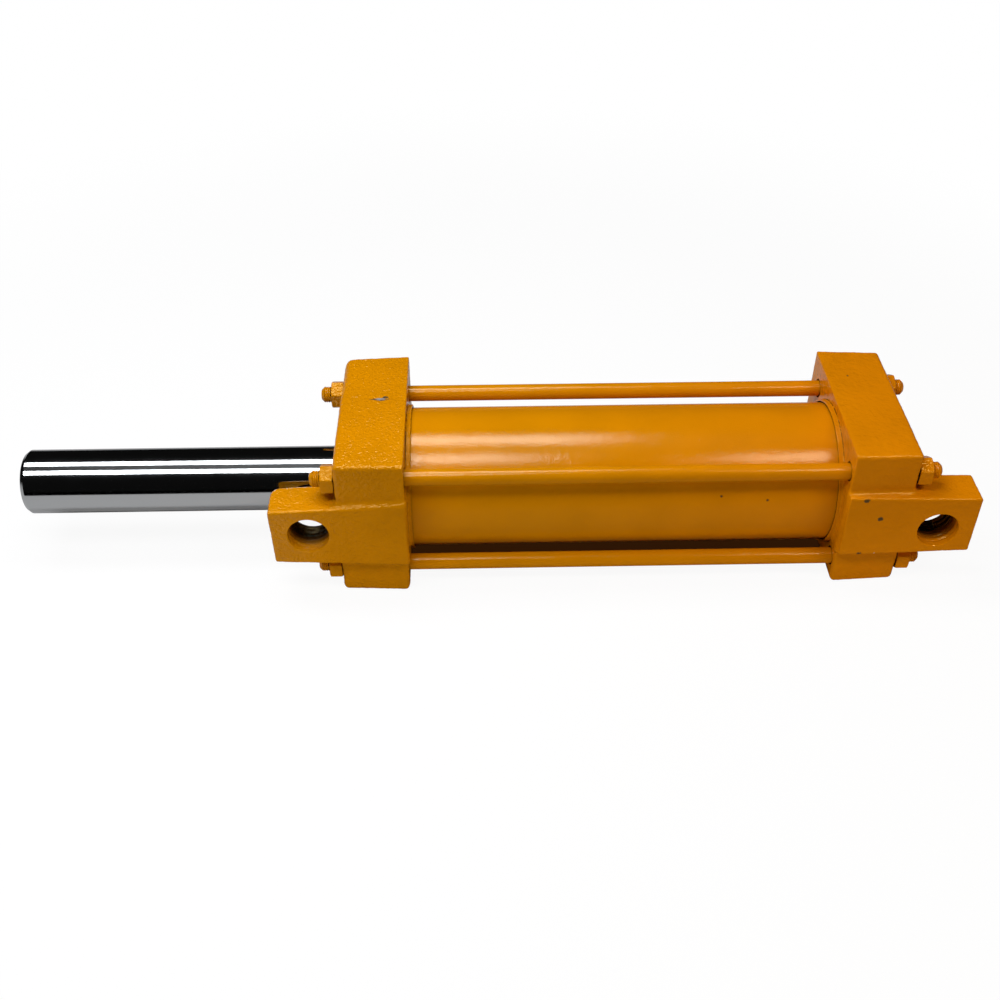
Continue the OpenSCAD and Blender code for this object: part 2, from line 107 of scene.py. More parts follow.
def add(tree: bpy.types.NodeTree, kind: str, inputs: dict[Any, Any] | None = None, **settings: Any) -> Any:
    """Adds one node with its settings and links.

    Args:
        tree: The node tree.
        kind: The node's type, without the ShaderNode prefix.
        inputs: Value, or socket to link from, of each input by name or index.
        settings: Properties of the node.

    Returns:
        The node.
    """
    made = tree.nodes.new("ShaderNode" + kind)
    for name, value in settings.items():
        setattr(made, name, value)
    for name, value in (inputs or {}).items():
        if isinstance(value, bpy.types.NodeSocket):
            tree.links.new(value, made.inputs[name])
        else:
            made.inputs[name].default_value = value
    return made


def empty_material(name: str) -> tuple[bpy.types.Material, bpy.types.NodeTree, Any]:
    """Makes a material that has no shader yet.

    Args:
        name: The material's name.

    Returns:
        The material, its node tree, and the socket of the place in the part's frame.
    """
    made = bpy.data.materials.new(name)
    made.use_nodes = True
    made.node_tree.nodes.clear()
    return made, made.node_tree, add(made.node_tree, "TexCoord").outputs["Object"]


def smoothstep(value: Array, low: float, high: float) -> Array:
    """Rises smoothly from 0 at low to 1 at high."""
    t = np.clip((value - low) / (high - low), 0, 1)
    return t * t * (3 - 2 * t)


def round_max(a: Array, b: Array, radius: Array | float) -> Array:
    """Distance to the overlap of two solids, with their shared edge rounded."""
    corner = np.hypot(np.maximum(a + radius, 0), np.maximum(b + radius, 0))
    return np.minimum(-radius, np.maximum(a, b)) + corner


def round_min(a: Array, b: Array, radius: Array | float) -> Array:
    """Distance to the union of two solids, with a fillet in the corner between them."""
    corner = np.hypot(np.maximum(radius - a, 0), np.maximum(radius - b, 0))
    return np.maximum(radius, np.minimum(a, b)) - corner


class Lumps:
    """Seeded smooth noise in space, for the unevenness of a cast surface."""

    SIZE = 64

    def __init__(self, seed: int) -> None:
        """Draws the lattice of values."""
        self.lattice = np.random.default_rng(seed).uniform(-1, 1, (self.SIZE,) * 3)

    def at(self, points: Array, wavelength: float) -> Array:
        """Reads the noise.

        Args:
            points: One row of x, y, z for each point, in millimetres.
            wavelength: Distance from lump to lump, in millimetres.

        Returns:
            A value from -1 to 1 for each point.
        """
        scaled = points / (wavelength / 2)
        base = np.floor(scaled).astype(int)
        t = scaled - base
        t = t * t * (3 - 2 * t)
        total = np.zeros(len(points))
        for corner in np.ndindex(2, 2, 2):
            weight = np.prod([t[:, i] if corner[i] else 1 - t[:, i] for i in range(3)], axis=0)
            index = [(base[:, i] + corner[i]) % self.SIZE for i in range(3)]
            total += weight * self.lattice[index[0], index[1], index[2]]
        return total


# ---------------------------------------------------------------- meshes


@dataclass
class Shape:
    """Points and faces of a mesh, in millimetres."""

    points: Array
    faces: list[tuple[int, ...]] | Array

    def moved(self, matrix: Matrix) -> "Shape":
        """Moves the shape, and turns it right side out again if the move mirrors it.

        Args:
            matrix: The transform.

        Returns:
            The moved shape.
        """
        m = np.array(matrix)
        points = self.points @ m[:3, :3].T + m[:3, 3]
        faces = [tuple(f)[::-1] for f in self.faces] if np.linalg.det(m[:3, :3]) < 0 else self.faces
        return Shape(points, faces)

    def obj(self, name: str) -> bpy.types.Object:
        """Makes a smooth-shaded object in metres.

        Args:
            name: The object's name.

        Returns:
            The object, linked to the scene.
        """
        mesh = bpy.data.meshes.new(name)
        mesh.from_pydata((self.points * MM).tolist(), [], [tuple(int(i) for i in f) for f in self.faces])
        mesh.validate()
        made = bpy.data.objects.new(name, mesh)
        bpy.context.scene.collection.objects.link(made)
        finish_shading(made)
        return made


def finish_shading(obj: bpy.types.Object) -> None:
    """Shades an object smooth, apart from its sharp edges."""
    obj.data.shade_smooth()
    obj.data.set_sharp_from_angle(angle=SHARP_ANGLE)


def net_of(distance: Field, low: Sequence[float], high: Sequence[float], cell: float) -> Shape:
    """Wraps a solid that is given by its distance function in a net of quads.

    Args:
        distance: Signed distance to the solid's surface, negative inside.
        low: Lowest corner of the space to search.
        high: Highest corner of that space.
        cell: Spacing of the grid.

    Returns:
        The solid's surface, with each point moved exactly onto it.
    """
    axes = [np.arange(a - 1.5 * cell, b + 2.5 * cell, cell) for a, b in zip(low, high)]
    d = distance(*np.meshgrid(*axes, indexing="ij"))
    inside = d < 0
    shape = np.array(d.shape) - 1
    total = np.zeros((*shape, 3))
    count = np.zeros(shape)
    crossings = []
    for axis in range(3):
        first = [slice(None)] * 3
        second = [slice(None)] * 3
        first[axis], second[axis] = slice(None, -1), slice(1, None)
        a, b = d[tuple(first)], d[tuple(second)]
        crosses = inside[tuple(first)] != inside[tuple(second)]
        crossings.append((axis, crosses, inside[tuple(first)]))
        t = np.where(crosses, a / np.where(crosses, a - b, 1), 0)
        others = [i for i in range(3) if i != axis]
        for shift in np.ndindex(2, 2):
            view = [slice(None)] * 3
            for other, s in zip(others, shift):
                view[other] = slice(s, s + shape[other])
            hit = crosses[tuple(view)]
            count += hit
            total[..., axis] += np.where(hit, t[tuple(view)], 0)
            for other, s in zip(others, shift):
                total[..., other] += hit * s
    used = count > 0
    index = np.full(used.shape, -1)
    index[used] = np.arange(used.sum())
    origin = np.array([a[0] for a in axes])
    points = origin + (np.argwhere(used) + total[used] / count[used][:, None]) * cell
    faces = []
    for axis, crosses, starts_inside in crossings:
        u, v = (axis + 1) % 3, (axis + 2) % 3
        for flip in (False, True):
            found = np.argwhere(crosses & (starts_inside != flip))
            corners = []
            for du, dv in ((0, 0), (1, 0), (1, 1), (0, 1)):
                cells = found.copy()
                cells[:, u] -= 1 - du
                cells[:, v] -= 1 - dv
                corners.append(index[cells[:, 0], cells[:, 1], cells[:, 2]])
            quad = np.stack(corners[::-1] if flip else corners, axis=1)
            faces.append(quad)
    step = cell * 0.01
    for _ in range(4):
        value = distance(*points.T)
        slope = np.stack([(distance(*(points + step * e).T) - value) / step for e in np.eye(3)], axis=1)
        slope /= np.maximum(np.linalg.norm(slope, axis=1), 0.3)[:, None]
        points = points - slope * np.clip(value, -cell, cell)[:, None]
    return Shape(points, np.concatenate(faces))


def normals_of(shape: Shape) -> Array:
    """Works out the unit normal at each point of a net.

    Args:
        shape: A net of quads.

    Returns:
        One row of x, y, z for each point.
    """
    faces = np.asarray(shape.faces)
    corners = shape.points[faces]
    across = np.cross(corners[:, 2] - corners[:, 0], corners[:, 3] - corners[:, 1])
    total = np.zeros_like(shape.points)
    for i in range(4):
        np.add.at(total, faces[:, i], across)
    return total / np.maximum(np.linalg.norm(total, axis=1), 1e-9)[:, None]


@dataclass(frozen=True)
class Thread:
    """A screw thread along part of a turned outline."""

    start: float
    end: float
    pitch: float
    depth: float
    outward: bool = False
    run_out: float = 1.5

    def offset(self, x: Array, turn: Array) -> Array:
        """Works out how far the thread moves the surface.

        Args:
            x: Place along the axis.
            turn: Share of a whole turn about it.

        Returns:
            The change of radius.
        """
        phase = (x / self.pitch - turn) % 1
        wave = np.clip((0.5 - np.abs(phase - 0.5)) * 2.6 - 0.3, 0, 1)
        fade = smoothstep(x, self.start - self.run_out, self.start) * (
            1 - smoothstep(x, self.end, self.end + self.run_out)
        )
        return (1 if self.outward else -1) * self.depth * wave * fade


@dataclass
class Turning:
    """A solid of revolution about X, from an outline of (x, radius, corner rounding).

    An outline that starts and ends on the axis is a bar. Any other one closes on itself as a ring.
    """

    outline: Sequence[tuple[float, float, float]]
    segments: int = 128
    thread: Thread | None = None
    thread_step: float = 0.22

    def rounded(self) -> Array:
        """Rounds the outline's corners, and cuts its threaded stretch into fine steps.

        Returns:
            One row of x and radius for each point.
        """
        n = len(self.outline)
        made: list[Array] = []
        for i, (x, r, radius) in enumerate(self.outline):
            here = np.array([x, r])
            before = np.array(self.outline[i - 1][:2])
            after = np.array(self.outline[(i + 1) % n][:2])
            if radius <= 0:
                made.append(here)
                continue
            a = (before - here) / np.linalg.norm(before - here)
            b = (after - here) / np.linalg.norm(after - here)
            half = math.acos(float(np.clip(a @ b, -1, 1))) / 2
            reach = radius / math.tan(half)
            centre = here + (a + b) / np.linalg.norm(a + b) * radius / math.sin(half)
            start, stop = here + a * reach - centre, here + b * reach - centre
            first = math.atan2(start[1], start[0])
            turn = math.remainder(math.atan2(stop[1], stop[0]) - first, 2 * math.pi)
            steps = max(2, math.ceil(abs(turn) / math.radians(20)))
            for k in range(steps + 1):
                angle = first + turn * k / steps
                made.append(centre + radius * np.array([math.cos(angle), math.sin(angle)]))
        points = np.array(made)
        if self.thread is None:
            return points
        low, high = self.thread.start - self.thread.run_out, self.thread.end + self.thread.run_out
        split: list[Array] = []
        for i, here in enumerate(points):
            split.append(here)
            after = points[(i + 1) % len(points)]
            if max(here[1], after[1]) < 1e-9:
                continue
            inside = [np.clip(v, low, high) for v in (here[0], after[0])]
            if abs(inside[1] - inside[0]) > 2 * self.thread_step:
                count = math.ceil(abs(inside[1] - inside[0]) / self.thread_step)
                for x in np.linspace(inside[0], inside[1], count + 1):
                    share = (x - here[0]) / (after[0] - here[0])
                    if 1e-6 < share < 1 - 1e-6:
                        split.append(here + (after - here) * share)
        return np.array(split)

    def shape(self) -> Shape:
        """Turns the outline about the axis.

        Returns:
            The solid.
        """
        line = self.rounded()
        bar = line[0, 1] < 1e-9 and line[-1, 1] < 1e-9
        area = np.sum(line[:, 0] * np.roll(line[:, 1], -1) - np.roll(line[:, 0], -1) * line[:, 1])
        if bar:
            line = line[1:-1]
        x = np.repeat(line[:, :1], self.segments, axis=1)
        turn = np.arange(self.segments)[None, :] / self.segments
        radius = np.repeat(line[:, 1:], self.segments, axis=1)
        if self.thread is not None:
            flat = self.threaded_mask(line)[:, None]
            radius = radius + flat * self.thread.offset(x, turn)
        angle = 2 * math.pi * turn + 0 * x
        points = np.stack([x, radius * np.cos(angle), radius * np.sin(angle)], axis=-1).reshape(-1, 3)
        rows, n = len(line), self.segments
        faces: list[tuple[int, ...]] = []
        for i in range(rows - (1 if bar else 0)):
            j = (i + 1) % rows
            for k in range(n):
                m = (k + 1) % n
                faces.append((i * n + k, i * n + m, j * n + m, j * n + k))
        if bar:
            ends = np.array([[self.outline[0][0], 0, 0], [self.outline[-1][0], 0, 0]])
            first, last = len(points), len(points) + 1
            points = np.concatenate([points, ends])
            for k in range(n):
                m = (k + 1) % n
                faces.append((first, m, k))
                faces.append((last, (rows - 1) * n + k, (rows - 1) * n + m))
        if area > 0:
            faces = [f[::-1] for f in faces]
        return Shape(points, faces)

    def threaded_mask(self, line: Array) -> Array:
        """Finds the outline's points on the threaded diameter.

        Args:
            line: The rounded outline.

        Returns:
            1 for each point on that diameter and 0 for each other one.
        """
        assert self.thread is not None
        inside = (line[:, 0] >= self.thread.start - self.thread.run_out) & (
            line[:, 0] <= self.thread.end + self.thread.run_out
        )
        radii = line[inside, 1]
        values, counts = np.unique(np.round(radii, 3), return_counts=True)
        common = values[counts.argmax()]
        return (inside & (np.abs(line[:, 1] - common) < 0.002)).astype(float)


def bar(start: float, end: float, radius: float, segments: int = 96) -> Shape:
    """A plain round bar about X, used as a drill."""
    return Turning([(start, 0, 0), (start, radius, 0), (end, radius, 0), (end, 0, 0)], segments).shape()


def ring(start: float, end: float, inner: float, outer: float, rounding: float = 0.0) -> Turning:
    """A ring about X with its four corners rounded."""
    corners = ((start, inner), (start, outer), (end, outer), (end, inner))
    return Turning([(x, radius, rounding) for x, radius in corners])


def cut(target: bpy.types.Object, tools: Sequence[tuple[Shape, str]]) -> None:
    """Cuts tools out of an object, or adds them to it, one by one.

    Args:
        target: The object to machine. Its mesh is replaced.
        tools: Each tool's shape, and DIFFERENCE or UNION.
    """
    helpers = []
    for shape, operation in tools:
        helper = shape.obj("tool")
        helpers.append(helper)
        change = target.modifiers.new("cut", "BOOLEAN")
        change.solver = "MANIFOLD"
        change.operation = operation
        change.object = helper
    bpy.context.view_layer.update()
    evaluated = target.evaluated_get(bpy.context.evaluated_depsgraph_get())
    made = bpy.data.meshes.new_from_object(evaluated)
    made.name = target.name
    target.modifiers.clear()
    old = target.data
    target.data = made
    bpy.data.meshes.remove(old)
    for helper in helpers:
        mesh = helper.data
        bpy.data.objects.remove(helper)
        bpy.data.meshes.remove(mesh)
    finish_shading(target)


# ---------------------------------------------------------------- finishes


@dataclass(frozen=True)
class Blemish:
    """A chip or stain in the paint, at a place in the part's frame."""

    place: tuple[float, float, float]
    radius: float
    colour: str
    stretch: tuple[float, float, float] = (1.0, 1.0, 1.0)


class Coat(Enum):
    """How the enamel lies on each kind of piece.

    The values are the coat's waves and their height, the grain of the metal below and its height,
    all in mm, then the roughness and the tint of the glints. Real grain is a few tenths of a
    millimetre wide, too fine to show, so it is drawn coarser.
    """

    ROUGH_CAST = (2.7, 1.10, 1.4, 0.25, 0.07, "#FFE08A")
    SMOOTH_CAST = (4.5, 0.60, 1.8, 0.30, 0.08, "#FFE08A")
    TUBE = (8.0, 0.14, 1.4, 0.20, 0.06, "#FFF6DC")
    BAR = (7.0, 0.14, 1.4, 0.22, 0.07, "#FFF2C8")
    NUT = (3.2, 0.55, 1.6, 0.25, 0.09, "#FFDF80")


@dataclass(frozen=True)
class YellowEnamel:
    """Sprayed gloss enamel over primer: a thick coat that rounds edges and shows orange peel."""

    coat: Coat
    colour: str = "#CD8301"
    cap_colour: str = "#DA8202"
    redder_from: float = -0.36  # where the colour begins to turn redder, m
    redder_to: float = -0.05
    bores: tuple[tuple[float, float], ...] = ((0.0, 0.0), (-568.0, 4.5))  # x and z of the lug bores, mm
    bore_r: float = 18.6
    # Painted shade inside the lug bores: its near-black colour, and where along y it begins and is full.
    bore_shade_colour: str = "#1C0F05"
    bore_shade_depth: tuple[float, float] = (-0.012, 0.003)  # y where it begins and where it is full, m
    cloud_size: float = 0.06  # m
    # Painted shade in tight corners: how far the occlusion looks, and the dark brown that it darkens to.
    corner_shade_reach: float = 0.004  # m
    corner_shade_colour: str = "#2E1A05"
    chip_grain: float = 0.0015  # of a chip's ragged edge, m
    chip_roughness: float = 0.6
    blemishes: tuple[Blemish, ...] = ()

    def material(self) -> bpy.types.Material:
        """Builds the material."""
        wave, wave_height, grain, grain_height, roughness, tint = self.coat.value
        made, tree, place = empty_material(f"yellow_enamel_{self.coat.name.lower()}")
        # Batches of overspray leave the colour a little uneven over a hand's width.
        noise = {"Vector": place, "Scale": 1 / self.cloud_size, "Detail": 3.0}
        cloud = add(tree, "TexNoise", noise).outputs["Fac"]
        shade = {"Value": cloud, "From Min": 0.35, "From Max": 0.65, "To Min": 0.92, "To Max": 1.0}
        level = add(tree, "MapRange", shade).outputs["Result"]
        # Towards the cap end the colour turns redder.
        along = add(tree, "SeparateXYZ", {0: place}).outputs["X"]
        spread = {"Value": along, "From Min": self.redder_from, "From Max": self.redder_to}
        towards_cap = add(tree, "MapRange", spread).outputs["Result"]
        both = {FACTOR: towards_cap, FIRST: linear(self.colour), SECOND: linear(self.cap_colour)}
        colour = add(tree, "Mix", both, data_type="RGBA").outputs[MIXED]
        colour = add(tree, "VectorMath", {0: colour, "Scale": level}, operation="SCALE").outputs[0]
        # Orange peel: the coat's slow waves, with the grain of the metal below showing through.
        relief: dict[Any, Any] = {"Strength": 1.0}
        for size, height, detail in ((wave, wave_height, 1.0), (grain, grain_height, 2.0)):
            noise = {"Vector": place, "Scale": 1 / (size * MM), "Detail": detail}
            relief.update(Height=add(tree, "TexNoise", noise).outputs["Fac"], Distance=height * MM)
            relief["Normal"] = add(tree, "Bump", relief).outputs[0]
        gloss = {"Value": cloud, "From Min": 0.3, "From Max": 0.7,
                 "To Min": roughness * 0.85, "To Max": roughness * 1.2}
        rough = add(tree, "MapRange", gloss).outputs["Result"]
        for blemish in self.blemishes:
            colour, rough = self.chipped(tree, place, blemish, colour, rough)
        # Painted shade and dark reflection inside each lug bore.
        for bore in self.bores:
            colour = self.painted_bore_shade(tree, place, bore, colour)
        # Painted shade: tight corners and crevices, where the occlusion finds little open space, darken towards
        # dark brown.
        corner = add(tree, "AmbientOcclusion", {"Distance": self.corner_shade_reach}, samples=8).outputs["AO"]
        fade = {"Value": corner, "From Min": 0.3, "From Max": 0.6, "To Min": 1.0, "To Max": 0.0}
        corner_shade = add(tree, "MapRange", fade).outputs["Result"]
        both = {FACTOR: corner_shade, FIRST: colour, SECOND: linear(self.corner_shade_colour)}
        colour = add(tree, "Mix", both, data_type="RGBA").outputs[MIXED]
        # The thin coat over its yellow primer warms the glints on the grain.
        shader = {"Base Color": colour, "Roughness": rough, "IOR": 1.5, "Specular Tint": linear(tint),
                  "Normal": relief["Normal"]}
        add(tree, "OutputMaterial", {"Surface": add(tree, "BsdfPrincipled", shader).outputs[0]})
        return made

    def painted_bore_shade(self, tree: bpy.types.NodeTree, place: Any, bore: tuple[float, float], colour: Any) -> Any:
        """Paints shade inside a lug bore, which is unpainted there: its near-black colour is painted shade and a
        painted dark reflection.

        Args:
            tree: The node tree.
            place: Socket of the place in the part's frame.
            bore: The bore's x and z.
            colour: Socket of the colour so far.

        Returns:
            The new colour socket.
        """
        centre = (bore[0] * MM, 0, bore[1] * MM)
        across = add(tree, "VectorMath", {0: place, 1: centre}, operation="SUBTRACT").outputs[0]
        across = add(tree, "VectorMath", {0: across, 1: (1, 0, 1)}, operation="MULTIPLY").outputs[0]
        away = add(tree, "VectorMath", {0: across}, operation="LENGTH").outputs["Value"]
        near = {"Value": away, "From Min": (self.bore_r + 1.2) * MM, "From Max": (self.bore_r + 1.6) * MM,
                "To Min": 1.0, "To Max": 0.0}
        deep = {"Value": add(tree, "SeparateXYZ", {0: place}).outputs["Y"],
                "From Min": self.bore_shade_depth[0], "From Max": self.bore_shade_depth[1]}
        masks = [add(tree, "MapRange", step).outputs["Result"] for step in (near, deep)]
        amount = add(tree, "Math", {0: masks[0], 1: masks[1]}, operation="MULTIPLY").outputs[0]
        both = {FACTOR: amount, FIRST: colour, SECOND: linear(self.bore_shade_colour)}
        return add(tree, "Mix", both, data_type="RGBA").outputs[MIXED]

    def chipped(
        self, tree: bpy.types.NodeTree, place: Any, blemish: Blemish, colour: Any, rough: Any
    ) -> tuple[Any, Any]:
        """Mixes one blemish into the colour and roughness.

        Args:
            tree: The node tree.
            place: Socket of the place in the part's frame.
            blemish: The blemish.
            colour: Socket of the colour so far.
            rough: Socket of the roughness so far.

        Returns:
            The new colour and roughness sockets.
        """
        centre = tuple(c * MM for c in blemish.place)
        shrink = tuple(1 / s for s in blemish.stretch)
        away = add(tree, "VectorMath", {0: place, 1: centre}, operation="SUBTRACT").outputs[0]
        away = add(tree, "VectorMath", {0: away, 1: shrink}, operation="MULTIPLY").outputs[0]
        far = add(tree, "VectorMath", {0: away}, operation="LENGTH").outputs["Value"]
        noise = {"Vector": place, "Scale": 1 / self.chip_grain, "Detail": 2.0}
        ragged = {0: add(tree, "TexNoise", noise).outputs["Fac"], 1: blemish.radius * MM * 1.2, 2: far}
        far = add(tree, "Math", ragged, operation="MULTIPLY_ADD").outputs[0]
        edge = blemish.radius * MM * 1.6
        fade = {"Value": far, "From Min": edge * 0.8, "From Max": edge, "To Min": 1.0, "To Max": 0.0}
        amount = add(tree, "MapRange", fade).outputs["Result"]
        both = {FACTOR: amount, FIRST: colour, SECOND: linear(blemish.colour)}
        colour = add(tree, "Mix", both, data_type="RGBA").outputs[MIXED]
        gloss = {FACTOR: amount, LOW: rough, HIGH: self.chip_roughness}
        return colour, add(tree, "Mix", gloss, data_type="FLOAT").outputs[0]


@dataclass(frozen=True)
class HardChrome:
    """Ground and polished hard chrome: a mirror with a faint haze left by the polishing belt."""

    colour: str = "#C3C5C5"
    roughness: float = 0.08
    patch: float = 0.02  # of haze, m

    def material(self) -> bpy.types.Material:
        """Builds the material."""
        made, tree, place = empty_material("ground_hard_chrome")
        # The belt's haze lies in patches.
        noise = {"Vector": place, "Scale": 1 / self.patch, "Detail": 4.0}
        smear = add(tree, "TexNoise", noise).outputs["Fac"]
        gloss = {"Value": smear, "To Min": self.roughness * 0.7, "To Max": self.roughness * 1.4}
        rough = add(tree, "MapRange", gloss).outputs["Result"]
        shader = {"Base Color": linear(self.colour), "Metallic": 1.0, "Roughness": rough}
        add(tree, "OutputMaterial", {"Surface": add(tree, "BsdfPrincipled", shader).outputs[0]})
        return made


@dataclass(frozen=True)
class TurnedMetal:
    """Metal from the lathe: fine rings about the axis, and a light film of oil."""

    name: str
    colour: str
    roughness: float = 0.32
    feed: float = 0.4  # spacing of the tool marks, mm
    mark_height: float = 0.01
    patch: float = 0.012  # of oil film, m

    def material(self) -> bpy.types.Material:
        """Builds the material."""
        made, tree, place = empty_material(self.name)
        along = add(tree, "SeparateXYZ", {0: place}).outputs["X"]
        ridges = {"W": along, "Scale": 1 / (self.feed * MM), "Detail": 2.0}
        marks = add(tree, "TexNoise", ridges, noise_dimensions="1D").outputs["Fac"]
        relief = {"Height": marks, "Strength": 1.0, "Distance": self.mark_height * MM}
        noise = {"Vector": place, "Scale": 1 / self.patch, "Detail": 4.0}
        film = add(tree, "TexNoise", noise).outputs["Fac"]
        gloss = {"Value": film, "To Min": self.roughness * 0.75, "To Max": self.roughness * 1.3}
        rough = add(tree, "MapRange", gloss).outputs["Result"]
        dark = tuple(c * 0.8 for c in linear(self.colour)[:3]) + (1.0,)
        both = {FACTOR: film, FIRST: dark, SECOND: linear(self.colour)}
        colour = add(tree, "Mix", both, data_type="RGBA").outputs[MIXED]
        shader = {"Base Color": colour, "Metallic": 1.0, "Roughness": rough,
                  "Normal": add(tree, "Bump", relief).outputs[0]}
        add(tree, "OutputMaterial", {"Surface": add(tree, "BsdfPrincipled", shader).outputs[0]})
        return made


@dataclass(frozen=True)
class MouldedSeal:
    """A moulded or turned seal material: even colour, a soft sheen and a faint skin texture."""

    name: str
    colour: str
    roughness: float
    ior: float
    texture: float = 0.6  # grain of the skin, mm
    height: float = 0.01

    def material(self) -> bpy.types.Material:
        """Builds the material."""
        made, tree, place = empty_material(self.name)
        noise = {"Vector": place, "Scale": 1 / (self.texture * MM), "Detail": 3.0}
        skin = add(tree, "TexNoise", noise).outputs["Fac"]
        relief = {"Height": skin, "Strength": 1.0, "Distance": self.height * MM}
        light = tuple(min(1.0, c * 1.15 + 0.004) for c in linear(self.colour)[:3]) + (1.0,)
        both = {FACTOR: skin, FIRST: linear(self.colour), SECOND: light}
        colour = add(tree, "Mix", both, data_type="RGBA").outputs[MIXED]
        gloss = {"Value": skin, "To Min": self.roughness * 0.85, "To Max": self.roughness * 1.15}
        rough = add(tree, "MapRange", gloss).outputs["Result"]
        shader = {"Base Color": colour, "Roughness": rough, "IOR": self.ior,
                  "Normal": add(tree, "Bump", relief).outputs[0]}
        add(tree, "OutputMaterial", {"Surface": add(tree, "BsdfPrincipled", shader).outputs[0]})
        return made


STEEL = TurnedMetal("turned_steel", "#8F9295")
BRONZE = TurnedMetal("bearing_bronze", "#B08245", 0.28)
NITRILE = MouldedSeal("nitrile_rubber", "#1B1B1D", 0.5, 1.52)
POLYURETHANE = MouldedSeal("polyurethane", "#2F5F8F", 0.35, 1.5)
PTFE = MouldedSeal("filled_ptfe", "#B9A98A", 0.45, 1.35)


# ---------------------------------------------------------------- the part's layout


class Workshop:
    """Knows where the CAD nodes are, and hangs finished pieces on them."""

    def __init__(self) -> None:
        """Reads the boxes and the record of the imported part."""
        low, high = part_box("barrel")
        self.axis_y = (low.y + high.y) / 2 / MM
        self.axis_z = (low.z + high.z) / 2 / MM
        self.head_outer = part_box("head_nut_upper_front")[1].x / MM + TOUCH
        self.cap_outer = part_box("cap_nut_upper_front")[0].x / MM - TOUCH
        self.rod_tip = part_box("piston_rod")[0].x / MM
        self.piston_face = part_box("piston")[0].x / MM - TOUCH
        record = frame["record"]
        self.slots = {s["node"]: s["material_slot"] for s in record["subparts"]}
        self.bodies = {n: b for b, nodes in record["behaviour"]["bodies"].items() for n in nodes}
        self.materials: dict[Any, bpy.types.Material] = {}

    def on_axis(self, x: float = 0.0, mirrored: bool = False) -> Matrix:
        """Transform to the cylinder's axis, mirrored along X for the rod head's frame."""
        place = Matrix.Translation((x, self.axis_y, self.axis_z))
        return place @ Matrix.Diagonal((-1.0, 1.0, 1.0, 1.0)) if mirrored else place

    def finish(self, obj: bpy.types.Object, node: str, finish: Any) -> None:
        """Gives a piece its material, and sets it in the place of its CAD node.

        Args:
            obj: The piece.
            node: The CAD node that it stands for.
            finish: The finish, which builds its material once.
        """
        if finish not in self.materials:
            self.materials[finish] = finish.material()
        obj.data.materials.clear()
        obj.data.materials.append(self.materials[finish])
        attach(obj, self.bodies[node])
        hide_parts(node)
        log.info("%s: %d faces", obj.name, len(obj.data.polygons))


# ---------------------------------------------------------------- castings


